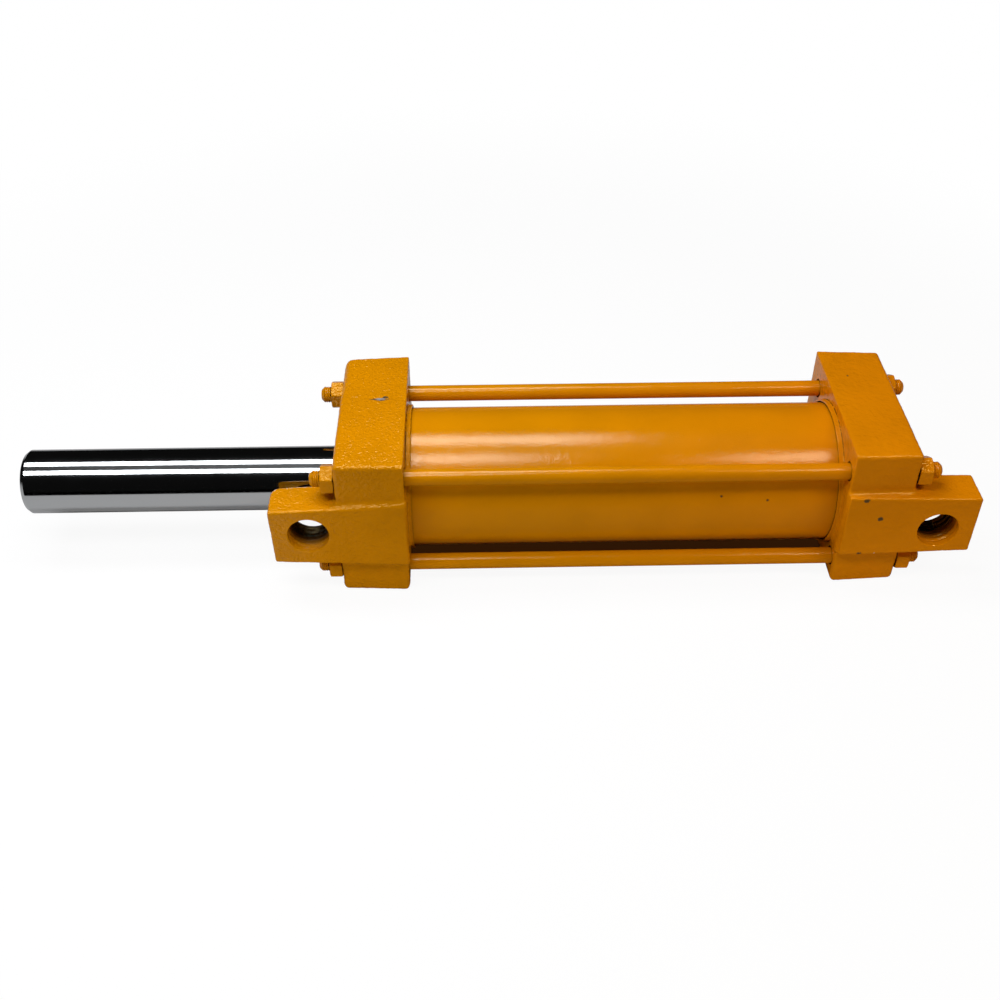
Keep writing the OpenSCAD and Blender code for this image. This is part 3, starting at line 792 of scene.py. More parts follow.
@dataclass
class Casting:
    """A drafted cast block with a side lug, a boss that seats the barrel, and machined holes."""

    node: str
    mirrored: bool
    coat: Coat
    thickness: float
    front: float
    back: float
    top: float
    lug_top: float
    lug_bottom: float
    lug_rise: float
    lug_drop: float
    lug_bore_z: float
    lug_reach: float
    lug_tip_r: float
    lug_back_r: float
    corner_r: float
    spigot: float
    port_x: float
    lump_height: float
    seed: int
    bottom: float = 71.5
    lug_front: float = 84.5
    lug_thickness: float = 36.0
    lug_slant: float = 0.0
    lug_bore_out: float = 26.0
    lug_bore_r: float = 18.6
    draft_y: float = 2.0
    draft_z: float = 1.2
    edge_r: float = 4.0
    crisp_r: float = 1.5
    foot_r: float = 5.0
    rim_r: float = 1.4
    lug_edge_r: float = 2.4
    fillet_r: float = 5.0
    boss_r: float = 68.0
    boss_height: float = 4.5
    barrel_r: float = 65.0
    bore_r: float = 55.0
    seat_depth: float = 3.5
    seat_chamfer: float = 0.4
    seat_gap: float = 1.2
    tie_y: float = 64.0
    tie_z: float = 50.5
    tie_hole_r: float = 9.05
    port_r: float = 9.32
    cell: float = 1.2
    # Stretches of the block over which one rounding passes into another, from the axis.
    foot_zone: tuple[float, float] = (30.0, 62.0)
    crisp_zone: tuple[float, float] = (0.0, 40.0)
    corner_zone: tuple[float, float] = (20.0, 60.0)
    lug_zone: float = 6.0
    boss_edge_r: float = 0.8
    boss_root: float = 10.0
    blemishes: tuple[Blemish, ...] = ()

    def distance(self, u: Array, v: Array, w: Array) -> Array:
        """Signed distance to the casting before machining.

        Args:
            u: Distance outwards from the inner face.
            v: Distance behind the axis.
            w: Distance above the axis.

        Returns:
            The distance, negative inside.
        """
        lean = u / self.thickness
        sides = np.maximum(-v - self.front, v - self.back) + self.draft_y * lean
        heights = np.maximum(w - self.top, -w - self.bottom) + self.draft_z * lean
        foot = smoothstep(-w, *self.foot_zone)
        soft = smoothstep(-v, *self.crisp_zone) * smoothstep(w, *self.crisp_zone)
        block = round_max(sides, heights, self.crisp_r + (self.edge_r - self.crisp_r) * soft)
        outer_r = self.edge_r + (self.corner_r - self.edge_r) * smoothstep(v, *self.corner_zone)
        block = round_max(block, u - self.thickness, np.maximum(outer_r, self.foot_r * foot))
        block = round_max(block, -u, self.rim_r + (self.foot_r - self.rim_r) * foot)
        tip = self.thickness + self.lug_reach
        leaning_tip = tip + self.lug_slant * (w + self.lug_bottom) / (self.lug_top + self.lug_bottom)
        grow = 1 - u / tip
        lug_sides = np.maximum(-v - self.lug_front, v + self.lug_front - self.lug_thickness)
        lug_heights = np.maximum(
            w - self.lug_top - self.lug_rise * grow, -w - self.lug_bottom - self.lug_drop * grow
        )
        middle = self.lug_thickness / 2 - self.lug_front
        behind = smoothstep(v, middle - self.lug_zone, middle + self.lug_zone)
        tip_r = self.lug_tip_r + (self.lug_back_r - self.lug_tip_r) * behind
        lug = round_max(lug_sides, u - leaning_tip, tip_r)
        lug = round_max(lug, lug_heights, self.lug_edge_r)
        lug = round_max(lug, -u, self.rim_r)
        boss = round_max(np.hypot(v, w) - self.boss_r, -u - self.boss_height, self.boss_edge_r)
        boss = np.maximum(boss, u - self.boss_root)
        return np.minimum(round_min(block, lug, self.fillet_r), boss)

    def cast(self) -> Shape:
        """Makes the rough casting: its net, moved in and out by the grain of the mould's sand.

        Returns:
            The casting before machining.
        """
        net = net_of(
            self.distance,
            (-self.boss_height, -self.lug_front, -self.bottom),
            (self.thickness + self.lug_reach + self.lug_slant, self.back, self.top),
            self.cell,
        )
        lumps = Lumps(self.seed)
        # Wide and narrow lumps, kept under the drawn surface.
        height = 0.6 * lumps.at(net.points, 9.0) + 0.4 * lumps.at(net.points + 31, 4.2) - 0.6
        net.points = net.points + normals_of(net) * (self.lump_height * height)[:, None]
        return net

    def lug_bore(self) -> Shape:
        """Makes the tool for the lug's bore, with its shallow rings and chamfered mouths.

        Returns:
            The tool, in the casting's frame.
        """
        half = self.lug_thickness / 2
        r, pitch, depth, chamfer, rings = self.lug_bore_r, 5.4, 1.1, 1.0, 5
        outline = [(-half - 2, 0, 0), (-half - 2, r + chamfer + 2, 0), (chamfer - half, r, 0)]
        for i in range(rings):
            x = (i - (rings - 1) / 2) * pitch
            outline += [(x - pitch * 0.3, r, 0.5), (x, r + depth, 0.6), (x + pitch * 0.3, r, 0.5)]
        outline += [(half - chamfer, r, 0), (half + 2, r + chamfer + 2, 0), (half + 2, 0, 0)]
        out = self.thickness + self.lug_bore_out
        place = Matrix.Translation((out, half - self.lug_front, self.lug_bore_z))
        return Turning(outline, 128).shape().moved(place @ Matrix.Rotation(math.pi / 2, 4, "Z"))

    def port(self) -> Shape:
        """Makes the tool for the oil port: a machined flat, a chamfer and a pipe thread.

        Returns:
            The tool, in the casting's frame.
        """
        face = self.back - self.draft_y * self.port_x / self.thickness - 1.5
        r = self.port_r
        outline = [
            (-17.0 - r * 0.6, 0, 0), (-17, r, 0), (-1.6, r, 0), (0, r + 1.6, 0),
            (0, 17, 0.6), (12, 17, 0), (12, 0, 0),
        ]
        thread = Thread(-15, -2.2, 1.814, 1.1, outward=True)
        place = Matrix.Translation((self.port_x, face, 0)) @ Matrix.Rotation(math.pi / 2, 4, "Z")
        return Turning(outline, 96, thread).shape().moved(place)

    def tools(self) -> list[tuple[Shape, str]]:
        """Lists the machining that both castings share.

        Returns:
            Each tool and what it does, in the order of the work.
        """
        spigot_r = self.bore_r - RUNNING
        spigot = Turning(
            [(-self.spigot, 0, 0), (-self.spigot, spigot_r - 2, 0.4), (2 - self.spigot, spigot_r, 0.4),
             (6, spigot_r, 0), (6, 0, 0)]
        ).shape()
        seat = Turning(
            [(-self.boss_height - 1, spigot_r, 0),
             (-self.boss_height - 1, self.barrel_r + self.seat_chamfer + 1, 0),
             (self.seat_chamfer - self.boss_height, self.barrel_r + self.seat_gap, 0),
             (1.5, self.barrel_r + self.seat_gap, 0), (1.5, self.barrel_r + TOUCH, 0),
             (self.seat_depth, self.barrel_r + TOUCH, 0), (self.seat_depth, spigot_r, 0)], 192
        ).shape()
        # The seat is cut first and the spigot is added after it, so that the spigot stays whole.
        tools = [(bar(-self.boss_height - 2, self.seat_depth, spigot_r + 0.5, 192), "DIFFERENCE")]
        tools += [(seat, "DIFFERENCE"), (spigot, "UNION")]
        tools.append((ring(-13.5, -7, spigot_r - 3.4, self.bore_r + 1).shape(), "DIFFERENCE"))
        tools.append((ring(-0.3, 0.9, self.boss_r - 1.2, self.boss_r + 0.3).shape(), "DIFFERENCE"))
        for y in (-1, 1):
            for z in (-1, 1):
                place = Matrix.Translation((0, y * self.tie_y, z * self.tie_z))
                hole = bar(-2, self.thickness + 2, self.tie_hole_r, 64).moved(place)
                tools.append((hole, "DIFFERENCE"))
        tools += [(self.lug_bore(), "DIFFERENCE"), (self.port(), "DIFFERENCE")]
        return tools

    def inner_tools(self) -> list[tuple[Shape, str]]:
        """The machining of the hollow inside, which differs between the castings."""
        return []

    def build(self, shop: Workshop) -> None:
        """Casts, machines, places and paints the piece.

        Args:
            shop: Places and finishes the pieces.
        """
        obj = self.cast().obj(f"{self.node}_casting")
        cut(obj, self.tools() + self.inner_tools())
        x = shop.head_outer + self.thickness if self.mirrored else shop.cap_outer - self.thickness
        matrix = shop.on_axis(x, self.mirrored)
        points = np.zeros(len(obj.data.vertices) * 3)
        obj.data.vertices.foreach_get("co", points)
        m = np.array(matrix)
        points = points.reshape(-1, 3) / MM @ m[:3, :3].T + m[:3, 3]
        obj.data.vertices.foreach_set("co", (points * MM).ravel())
        if self.mirrored:
            obj.data.flip_normals()
        finish_shading(obj)
        shop.finish(obj, self.node, YellowEnamel(self.coat, blemishes=self.blemishes))


@dataclass
class RodHead(Casting):
    """The casting that the rod runs through, bored for its bushing and seals."""

    rod_r: float = 30.0

    def inner_tools(self) -> list[tuple[Shape, str]]:
        """Bores the gland's steps, and the oil way from the port to the barrel.

        Returns:
            Each tool and what it does.
        """
        r = self.rod_r
        wiper_r = r + 8
        # From the inside: bushing, buffer seal, rod seal, wiper, and the snap ring's groove.
        gland = Turning(
            [(-21, 0, 0), (-21, r + 3.5, 0), (18, r + 3.5, 0), (18, r + 0.6, 0), (22, r + 0.6, 0),
             (22, r + 6.5, 0.3), (30, r + 6.5, 0.3), (30, r + 0.6, 0), (34, r + 0.6, 0), (34, r + 7.5, 0.3),
             (45, r + 7.5, 0.3), (45, r + 0.6, 0), (48, r + 0.6, 0), (48, wiper_r, 0.3), (56, wiper_r, 0),
             (56, wiper_r + 1.5, 0), (58, wiper_r + 1.5, 0), (58, wiper_r, 0),
             (self.thickness - 0.8, wiper_r, 0), (self.thickness + 1, wiper_r + 1.8, 0),
             (self.thickness + 1, 0, 0)],
            160,
        ).shape()
        cross = bar(44.5, self.back - 17, 4.0, 48).moved(
            Matrix.Translation((self.port_x, 0, 0)) @ Matrix.Rotation(math.pi / 2, 4, "Z")
        )
        along = bar(-self.spigot - 1, self.port_x, 4.0, 48).moved(Matrix.Translation((0, 44.5, 0)))
        return [(gland, "DIFFERENCE"), (cross, "DIFFERENCE"), (along, "DIFFERENCE")]


@dataclass
class EndCap(Casting):
    """The casting that closes the barrel, hollowed for the piston's nut."""

    def inner_tools(self) -> list[tuple[Shape, str]]:
        """Hollows the cap for the piston's nut, and drills the oil way from the port.

        Returns:
            Each tool and what it does.
        """
        hollow = Turning(
            [(-self.spigot - 1, 0, 0), (-self.spigot - 1, 41, 0), (-self.spigot + 1, 40, 0),
             (24, 40, 2), (24, 0, 0)]
        ).shape()
        cross = bar(0, self.back - 17, 5.0, 48).moved(
            Matrix.Translation((self.port_x, 0, 0)) @ Matrix.Rotation(math.pi / 2, 4, "Z")
        )
        return [(hollow, "DIFFERENCE"), (cross, "DIFFERENCE")]


# ---------------------------------------------------------------- barrel, tie rods and nuts


@dataclass
class Barrel:
    """The drawn tube between the castings, sprayed with the rest of the cylinder."""

    outer_r: float = 65.0
    inner_r: float = 55.0

    def build(self, shop: Workshop) -> None:
        """Turns the tube between the ends of its CAD node.

        Args:
            shop: Places and finishes the pieces.
        """
        low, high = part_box("barrel")
        a, b = low.x / MM, high.x / MM
        tube = Turning(
            [(a, self.inner_r + 1, 0), (a, self.outer_r, 0.8), (b, self.outer_r, 0.8),
             (b, self.inner_r + 1, 0), (b - 3, self.inner_r, 0), (a + 3, self.inner_r, 0)],
            256,
        )
        obj = tube.shape().moved(shop.on_axis()).obj("barrel_tube")
        places = ((-195.8, 5.1, 24.8), (-153.8, 3.8, 20.6))
        dots = tuple(Blemish(place, 1.3, "#4A2C0A") for place in places)
        shop.finish(obj, "barrel", YellowEnamel(Coat.TUBE, blemishes=dots))


@dataclass
class TieRods:
    """Four drawn rods that pull the castings onto the barrel, with painted threads and domed ends."""

    radius: float = 7.55
    pitch: float = 2.0
    thread_depth: float = 0.75  # the coat fills the bottom of the real 1.2
    thread_length: float = 15.0
    dome: float = 3.0

    def one(self, length: float) -> Shape:
        """A tie rod from x = 0, with a thread at each end.

        Args:
            length: Its whole length.

        Returns:
            The rod's shape.
        """
        r = self.radius
        halves = []
        for mirrored in (False, True):
            outline = [(0, 0, 0), (0, r * 0.62, 2.0), (self.dome, r, 1.2), (length / 2, r, 0),
                       (length / 2, 0, 0)]
            thread = Thread(self.dome + 0.6, self.thread_length, self.pitch, self.thread_depth)
            half = Turning(outline, 48, thread)
            flip = Matrix.Translation((length, 0, 0)) @ Matrix.Diagonal((-1, 1, 1, 1))
            halves.append(half.shape().moved(flip) if mirrored else half.shape())
        return self.joined(halves[0], halves[1], 48)

    @staticmethod
    def joined(left: Shape, right: Shape, segments: int) -> Shape:
        """Welds two half rods at their flat middle ends.

        Args:
            left: The half that starts at x = 0.
            right: The other half.
            segments: Points round each half.

        Returns:
            The whole rod.
        """

        def open_end(shape: Shape) -> tuple[Array, list[tuple[int, ...]], Array]:
            """Takes the flat end off, and gives the points, the faces and the open rim."""
            n = len(shape.points)
            last = n - 1
            faces = [tuple(int(i) for i in f) for f in shape.faces if last not in f]
            keep = np.arange(n - 1)
            rim = np.arange(n - 2 - segments, n - 2)
            return shape.points[keep], faces, rim

        a_points, a_faces, a_rim = open_end(left)
        b_points, b_faces, b_rim = open_end(right)
        offset = len(a_points)
        mapping = {int(b): int(a) for a, b in zip(a_rim, b_rim)}
        faces = a_faces + [tuple(mapping.get(i, i + offset) for i in f) for f in b_faces]
        points = np.concatenate([a_points, b_points])
        used = np.unique(np.array([i for f in faces for i in f]))
        renumber = np.full(len(points), -1)
        renumber[used] = np.arange(len(used))
        return Shape(points[used], [tuple(int(renumber[i]) for i in f) for f in faces])

    def build(self, shop: Workshop) -> None:
        """Makes the four rods, each turned a little differently.

        Args:
            shop: Places and finishes the pieces.
        """
        for k, corner in enumerate(CORNERS):
            node = f"tie_rod_{corner}"
            low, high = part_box(node)
            rod = self.one((high.x - low.x) / MM)
            place = Matrix.Translation((low.x / MM, (low.y + high.y) / 2 / MM, (low.z + high.z) / 2 / MM))
            turn = Matrix.Rotation(0.9 * k, 4, "X")
            obj = rod.moved(place @ turn).obj(f"{node}_bar")
            shop.finish(obj, node, YellowEnamel(Coat.BAR))


CORNERS = ("upper_front", "upper_back", "lower_front", "lower_back")


@dataclass
class TieNuts:
    """Eight hexagon nuts whose corners the paint has rounded."""

    flats: float = 24.0
    height: float = 12.0
    hole_r: float = 7.6
    chamfer: float = 1.7
    rounding: float = 0.7
    cell: float = 0.45

    def distance(self, x: Array, y: Array, z: Array) -> Array:
        """Signed distance to a nut about X, with its middle at the origin.

        Args:
            x: Place along the nut's axis.
            y: First place across it.
            z: Second place across it.

        Returns:
            The distance, negative inside.
        """
        half = self.flats / 2
        flats = [np.abs(y), np.abs(y / 2 + z * COS_30), np.abs(y / 2 - z * COS_30)]
        hexagon = round_max(flats[0] - half, flats[1] - half, self.rounding)
        hexagon = round_max(hexagon, flats[2] - half, self.rounding)
        away = np.hypot(y, z)
        ends = np.abs(x) - self.height / 2
        corner_r = half / math.cos(math.pi / 6)
        cone = ((away - corner_r + self.chamfer) * CONE_SLOPE + ends) / CONE_LENGTH
        nut = round_max(round_max(hexagon, ends, self.rounding), cone, 0.4)
        mouth = (self.hole_r + 0.9 - away - (-ends)) / DIAGONAL
        return round_max(np.maximum(nut, self.hole_r - away), mouth, 0.3)

    def build(self, shop: Workshop) -> None:
        """Makes one nut and sets a copy of it at each end of each tie rod.

        Args:
            shop: Places and finishes the pieces.
        """
        corner_r = self.flats / 2 / math.cos(math.pi / 6)
        reach = (self.height / 2, corner_r, corner_r)
        net = net_of(self.distance, [-v for v in reach], reach, self.cell)
        for end in ("head", "cap"):
            for corner in CORNERS:
                node = f"{end}_nut_{corner}"
                low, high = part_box(node)
                centre = (low + high) / 2 / MM
                obj = net.moved(Matrix.Translation(centre)).obj(f"{node}_hexagon")
                shop.finish(obj, node, YellowEnamel(Coat.NUT))


# ---------------------------------------------------------------- rod gland and static seals


@dataclass
class Seals:
    """The rings in the gland and on the spigots."""

    rod_r: float = 30.0
    bore_r: float = 55.0

    def u_cup(self, x: float, width: float, outer: float) -> Turning:
        """Outlines a seal with two lips and a notch that faces the pressure.

        Args:
            x: Where its lips end.
            width: Its length along the rod.
            outer: Its outer radius.

        Returns:
            The seal.
        """
        inner = self.rod_r + RUNNING
        middle = (inner + outer) / 2
        deep = x + width * 0.4
        return Turning(
            [(x, inner + 0.5, 0.2), (x + 0.8, inner, 0.3), (x + width, inner, 0.2), (x + width, outer, 0.4),
             (x + 0.8, outer, 0.3), (x, outer - 0.5, 0.2), (x, middle + 1.4, 0.2), (deep, middle + 0.4, 0.25),
             (deep, middle - 0.4, 0.25), (x, middle - 1.4, 0.2)]
        )

    def wiper(self, face: float) -> Turning:
        """Outlines a scraper whose lip leans onto the rod outside the head.

        Args:
            face: Distance of the head's outer face from its inner face.

        Returns:
            The wiper.
        """
        r = self.rod_r
        return Turning(
            [(48.02, r + 1.05, 0.2), (48.02, r + 7.98, 0.5), (55.98, r + 7.98, 0.5), (55.98, r + 4.2, 0.8),
             (face + 1.5, r + 1.6, 0.4), (face + 1.5, r + RUNNING, 0.1), (face - 1, r + RUNNING + 0.6, 0.6),
             (52, r + 1.05, 0.6)]
        )

    def o_ring(self, x: float) -> Turning:
        """Outlines an O-ring squeezed oval between a spigot and the barrel.

        Args:
            x: The ring's middle.

        Returns:
            The ring.
        """
        height = 3.4 + RUNNING - 2 * TOUCH
        r = height / 2
        middle = self.bore_r - TOUCH - r
        half = 2.2
        return ring(x - half, x + half, middle - r, middle + r, r * 0.98)

    def snap_ring(self) -> Shape:
        """Makes a spring ring with a gap and an eye at each end, in its groove.

        Returns:
            The ring.
        """
        inner, outer, thick = self.rod_r + 5.6, self.rod_r + 9.48, 1.9
        eye_r, hole_r, eye_centre = 2.4, 1.1, self.rod_r + 6.95

        def distance(x: Array, y: Array, z: Array) -> Array:
            """Signed distance to the ring, negative inside."""
            away = np.hypot(y, z)
            band = round_max(np.maximum(inner - away, away - outer), np.abs(x - 57) - thick / 2, 0.25)
            gap = np.where(z > 0, 4.5 - np.abs(y), -1.0)
            made = np.maximum(band, gap)
            for side in (-1, 1):
                a = math.radians(11) * side
                spot = np.hypot(y - eye_centre * math.sin(a), z - eye_centre * math.cos(a))
                eye = round_max(spot - eye_r, np.abs(x - 57) - thick / 2, 0.25)
                made = np.maximum(np.minimum(made, eye), hole_r - spot)
            return made

        return net_of(distance, (56, -outer, -outer), (58, outer, outer), 0.5)

    def build(self, shop: Workshop) -> None:
        """Makes each ring and sets it in its groove.

        Args:
            shop: Places and finishes the pieces.
        """
        head = shop.head_outer + HEAD_THICKNESS
        cap = shop.cap_outer - CAP_THICKNESS
        spigot_low = self.bore_r - RUNNING - 3.4 + TOUCH
        r = self.rod_r
        backup = ring(-13.4, -11.9, spigot_low, self.bore_r - TOUCH, 0.2).shape()
        parts: list[tuple[str, Shape, float, bool, Any]] = [
            ("rod_bushing", Turning(
                [(-20, r + 0.85, 0.2), (-20, r + 2.7, 0.3), (-19.2, r + 3.48, 0.3), (17.98, r + 3.48, 0.3),
                 (17.98, r + RUNNING, 0.3), (-19.2, r + RUNNING, 0.3)]).shape(), head, True, BRONZE),
            ("rod_buffer_seal", self.u_cup(22.1, 7.8, r + 6.48).shape(), head, True, PTFE),
            ("rod_seal", self.u_cup(34.1, 10.8, r + 7.48).shape(), head, True, POLYURETHANE),
            ("rod_wiper", self.wiper(HEAD_THICKNESS).shape(), head, True, NITRILE),
            ("wiper_snap_ring", self.snap_ring(), head, True, STEEL),
            ("head_o_ring", self.o_ring(-9.4).shape(), head, True, NITRILE),
            ("head_backup_ring", backup, head, True, PTFE),
            ("cap_o_ring", self.o_ring(-9.4).shape(), cap, False, NITRILE),
            ("cap_backup_ring", backup, cap, False, PTFE),
        ]
        for node, shape, x, mirrored, finish in parts:
            obj = shape.moved(shop.on_axis(x, mirrored)).obj(f"{node}_ring")
            shop.finish(obj, node, finish)


# ---------------------------------------------------------------- rod and piston


@dataclass
class PistonRod:
    """The chromed rod, stepped for the piston at one end and tapped for a rod eye at the other."""

    radius: float = 30.0
    seat_r: float = 22.5
    thread_r: float = 21.0
    tap_r: float = 16.9
    tap_depth: float = 60.0
    piston_length: float = 57.5
    nut_height: float = 30.0

    def build(self, shop: Workshop) -> None:
        """Turns the rod from its tip to its piston end.

        Args:
            shop: Places and finishes the pieces.
        """
        r = self.radius
        seat = shop.piston_face - shop.rod_tip
        end = seat + self.piston_length + self.nut_height + 4
        outline = [
            (self.tap_depth + self.tap_r * math.tan(math.radians(31)), 0, 0), (self.tap_depth, self.tap_r, 0),
            (1.6, self.tap_r, 0), (0, self.tap_r + 1.6, 0.2), (0, r - 2.6, 0.5), (3.6, r, 0.9),
            (seat, r, 0.4), (seat, self.seat_r, 0.4), (seat + self.piston_length - 2, self.seat_r, 0.4),
            (seat + self.piston_length - 0.5, self.thread_r, 0.3), (end - 1.5, self.thread_r, 0.3),
            (end, self.thread_r - 1.5, 0.3), (end, 0, 0),
        ]
        rod = Turning(outline, 192, Thread(2.2, 52.0, 2.0, 1.1, outward=True), 0.25)
        obj = rod.shape().moved(shop.on_axis(shop.rod_tip)).obj("piston_rod_bar")
        shop.finish(obj, "piston_rod", HardChrome())


@dataclass
class Piston:
    """The piston with its seal, its wear rings and the nut that holds it."""

    radius: float = 54.75
    bore_r: float = 55.0
    seat_r: float = 22.5
    length: float = 57.5
    wear_inset: float = 7.0
    wear_width: float = 10.0
    wear_depth: float = 2.5
    seal_width: float = 8.0
    seal_depth: float = 7.4
    slipper: float = 2.6

    def body(self) -> Turning:
        """Outlines the piston with its grooves.

        Returns:
            The piston without its rings.
        """
        r, n = self.radius, self.length
        low = self.wear_inset
        seal = (n - self.seal_width) / 2
        line = [(0, self.seat_r + TOUCH, 0.3), (0, r - 2, 0.3), (2, r, 0.3)]
        for start, width, depth in (
            (low, self.wear_width, self.wear_depth), (seal, self.seal_width, self.seal_depth),
            (n - low - self.wear_width, self.wear_width, self.wear_depth),
        ):
            stop = start + width
            line += [(start, r, 0.15), (start, r - depth, 0.2), (stop, r - depth, 0.2), (stop, r, 0.15)]
        line += [(n - 2, r, 0.3), (n, r - 2, 0.3), (n, self.seat_r + TOUCH, 0.3)]
        line += [(30, self.seat_r + TOUCH, 0), (30, self.seat_r + 3, 0.2), (26, self.seat_r + 3, 0.2),
                 (26, self.seat_r + TOUCH, 0)]
        return Turning(line)

    def energiser(self) -> Turning:
        """Outlines the rubber ring under the slipper.

        Returns:
            The ring.
        """
        low = self.radius - self.seal_depth + RUNNING
        high = self.bore_r - RUNNING - self.slipper - TOUCH
        r = (high - low) / 2 * 0.98
        half = (self.seal_width - 0.6) / 2
        middle = self.length / 2
        return ring(middle - half, middle + half, low, high, r)

    def nut(self) -> Shape:
        """Makes the big hexagon nut behind the piston.

        Returns:
            The nut, in the piston's frame.
        """
        big = TieNuts(flats=65.0, height=30.0, hole_r=21.02, chamfer=4.0, rounding=0.8, cell=1.0)
        corner_r = big.flats / 2 / math.cos(math.pi / 6)
        reach = (big.height / 2, corner_r, corner_r)
        net = net_of(big.distance, [-v for v in reach], reach, big.cell)
        return net.moved(Matrix.Translation((self.length + TOUCH + big.height / 2, 0, 0)))

    def build(self, shop: Workshop) -> None:
        """Makes each piece in its place on the rod.

        Args:
            shop: Places and finishes the pieces.
        """
        outer = self.bore_r - RUNNING
        seal = (self.length - self.seal_width) / 2 + 0.1
        seal_end = seal + self.seal_width - 0.2
        wear_low = self.radius - self.wear_depth + RUNNING
        rear = self.length - self.wear_inset - self.wear_width
        slipper = Turning(
            [(seal, outer - self.slipper, 0.2), (seal, outer - 0.6, 0.2), (seal + 0.8, outer, 0.3),
             (seal_end - 0.8, outer, 0.3), (seal_end, outer - 0.6, 0.2),
             (seal_end, outer - self.slipper, 0.2)]
        )
        small = 1.46
        inner_ring = ring(28 - small, 28 + small, self.seat_r + TOUCH, self.seat_r + 2.98, small * 0.98)
        parts: list[tuple[str, Shape, Any]] = [
            ("piston", self.body().shape(), STEEL),
            ("piston_nut", self.nut(), STEEL),
            ("piston_o_ring", inner_ring.shape(), NITRILE),
            ("piston_seal", slipper.shape(), POLYURETHANE),
            ("piston_seal_energiser", self.energiser().shape(), NITRILE),
            ("wear_ring_front", self.wear_ring(self.wear_inset, wear_low, outer), PTFE),
            ("wear_ring_rear", self.wear_ring(rear, wear_low, outer), PTFE),
        ]
        for node, shape, finish in parts:
            obj = shape.moved(shop.on_axis(shop.piston_face)).obj(f"{node}_piece")
            shop.finish(obj, node, finish)

    def wear_ring(self, start: float, low: float, high: float) -> Shape:
        """A flat guide band."""
        return ring(start + 0.1, start + self.wear_width - 0.1, low, high, 0.3).shape()


# ---------------------------------------------------------------- studio


@dataclass(frozen=True)
class Softbox:
    """A long overhead light, given by its extent in metres and its radiance."""

    name: str
    x: tuple[float, float]
    y: tuple[float, float]
    height: float
    radiance: float
    colour: str = "#FFFFFF"
    turn: float = 0.0  # about the vertical through its right end, degrees

    def build(self) -> None:
        """Adds the light, facing down."""
        width, depth = self.x[1] - self.x[0], self.y[1] - self.y[0]
        data = bpy.data.lights.new(self.name, "AREA")
        data.shape = "RECTANGLE"
        data.size, data.size_y = width, depth
        data.energy = self.radiance * math.pi * width * depth
        data.color = linear(self.colour)[:3]
        obj = bpy.data.objects.new(self.name, data)
        pivot = Matrix.Translation((self.x[1], (self.y[0] + self.y[1]) / 2, self.height))
        obj.matrix_world = (
            pivot @ Matrix.Rotation(math.radians(self.turn), 4, "Z") @ Matrix.Translation((-width / 2, 0, 0))
        )
        bpy.context.scene.collection.objects.link(obj)


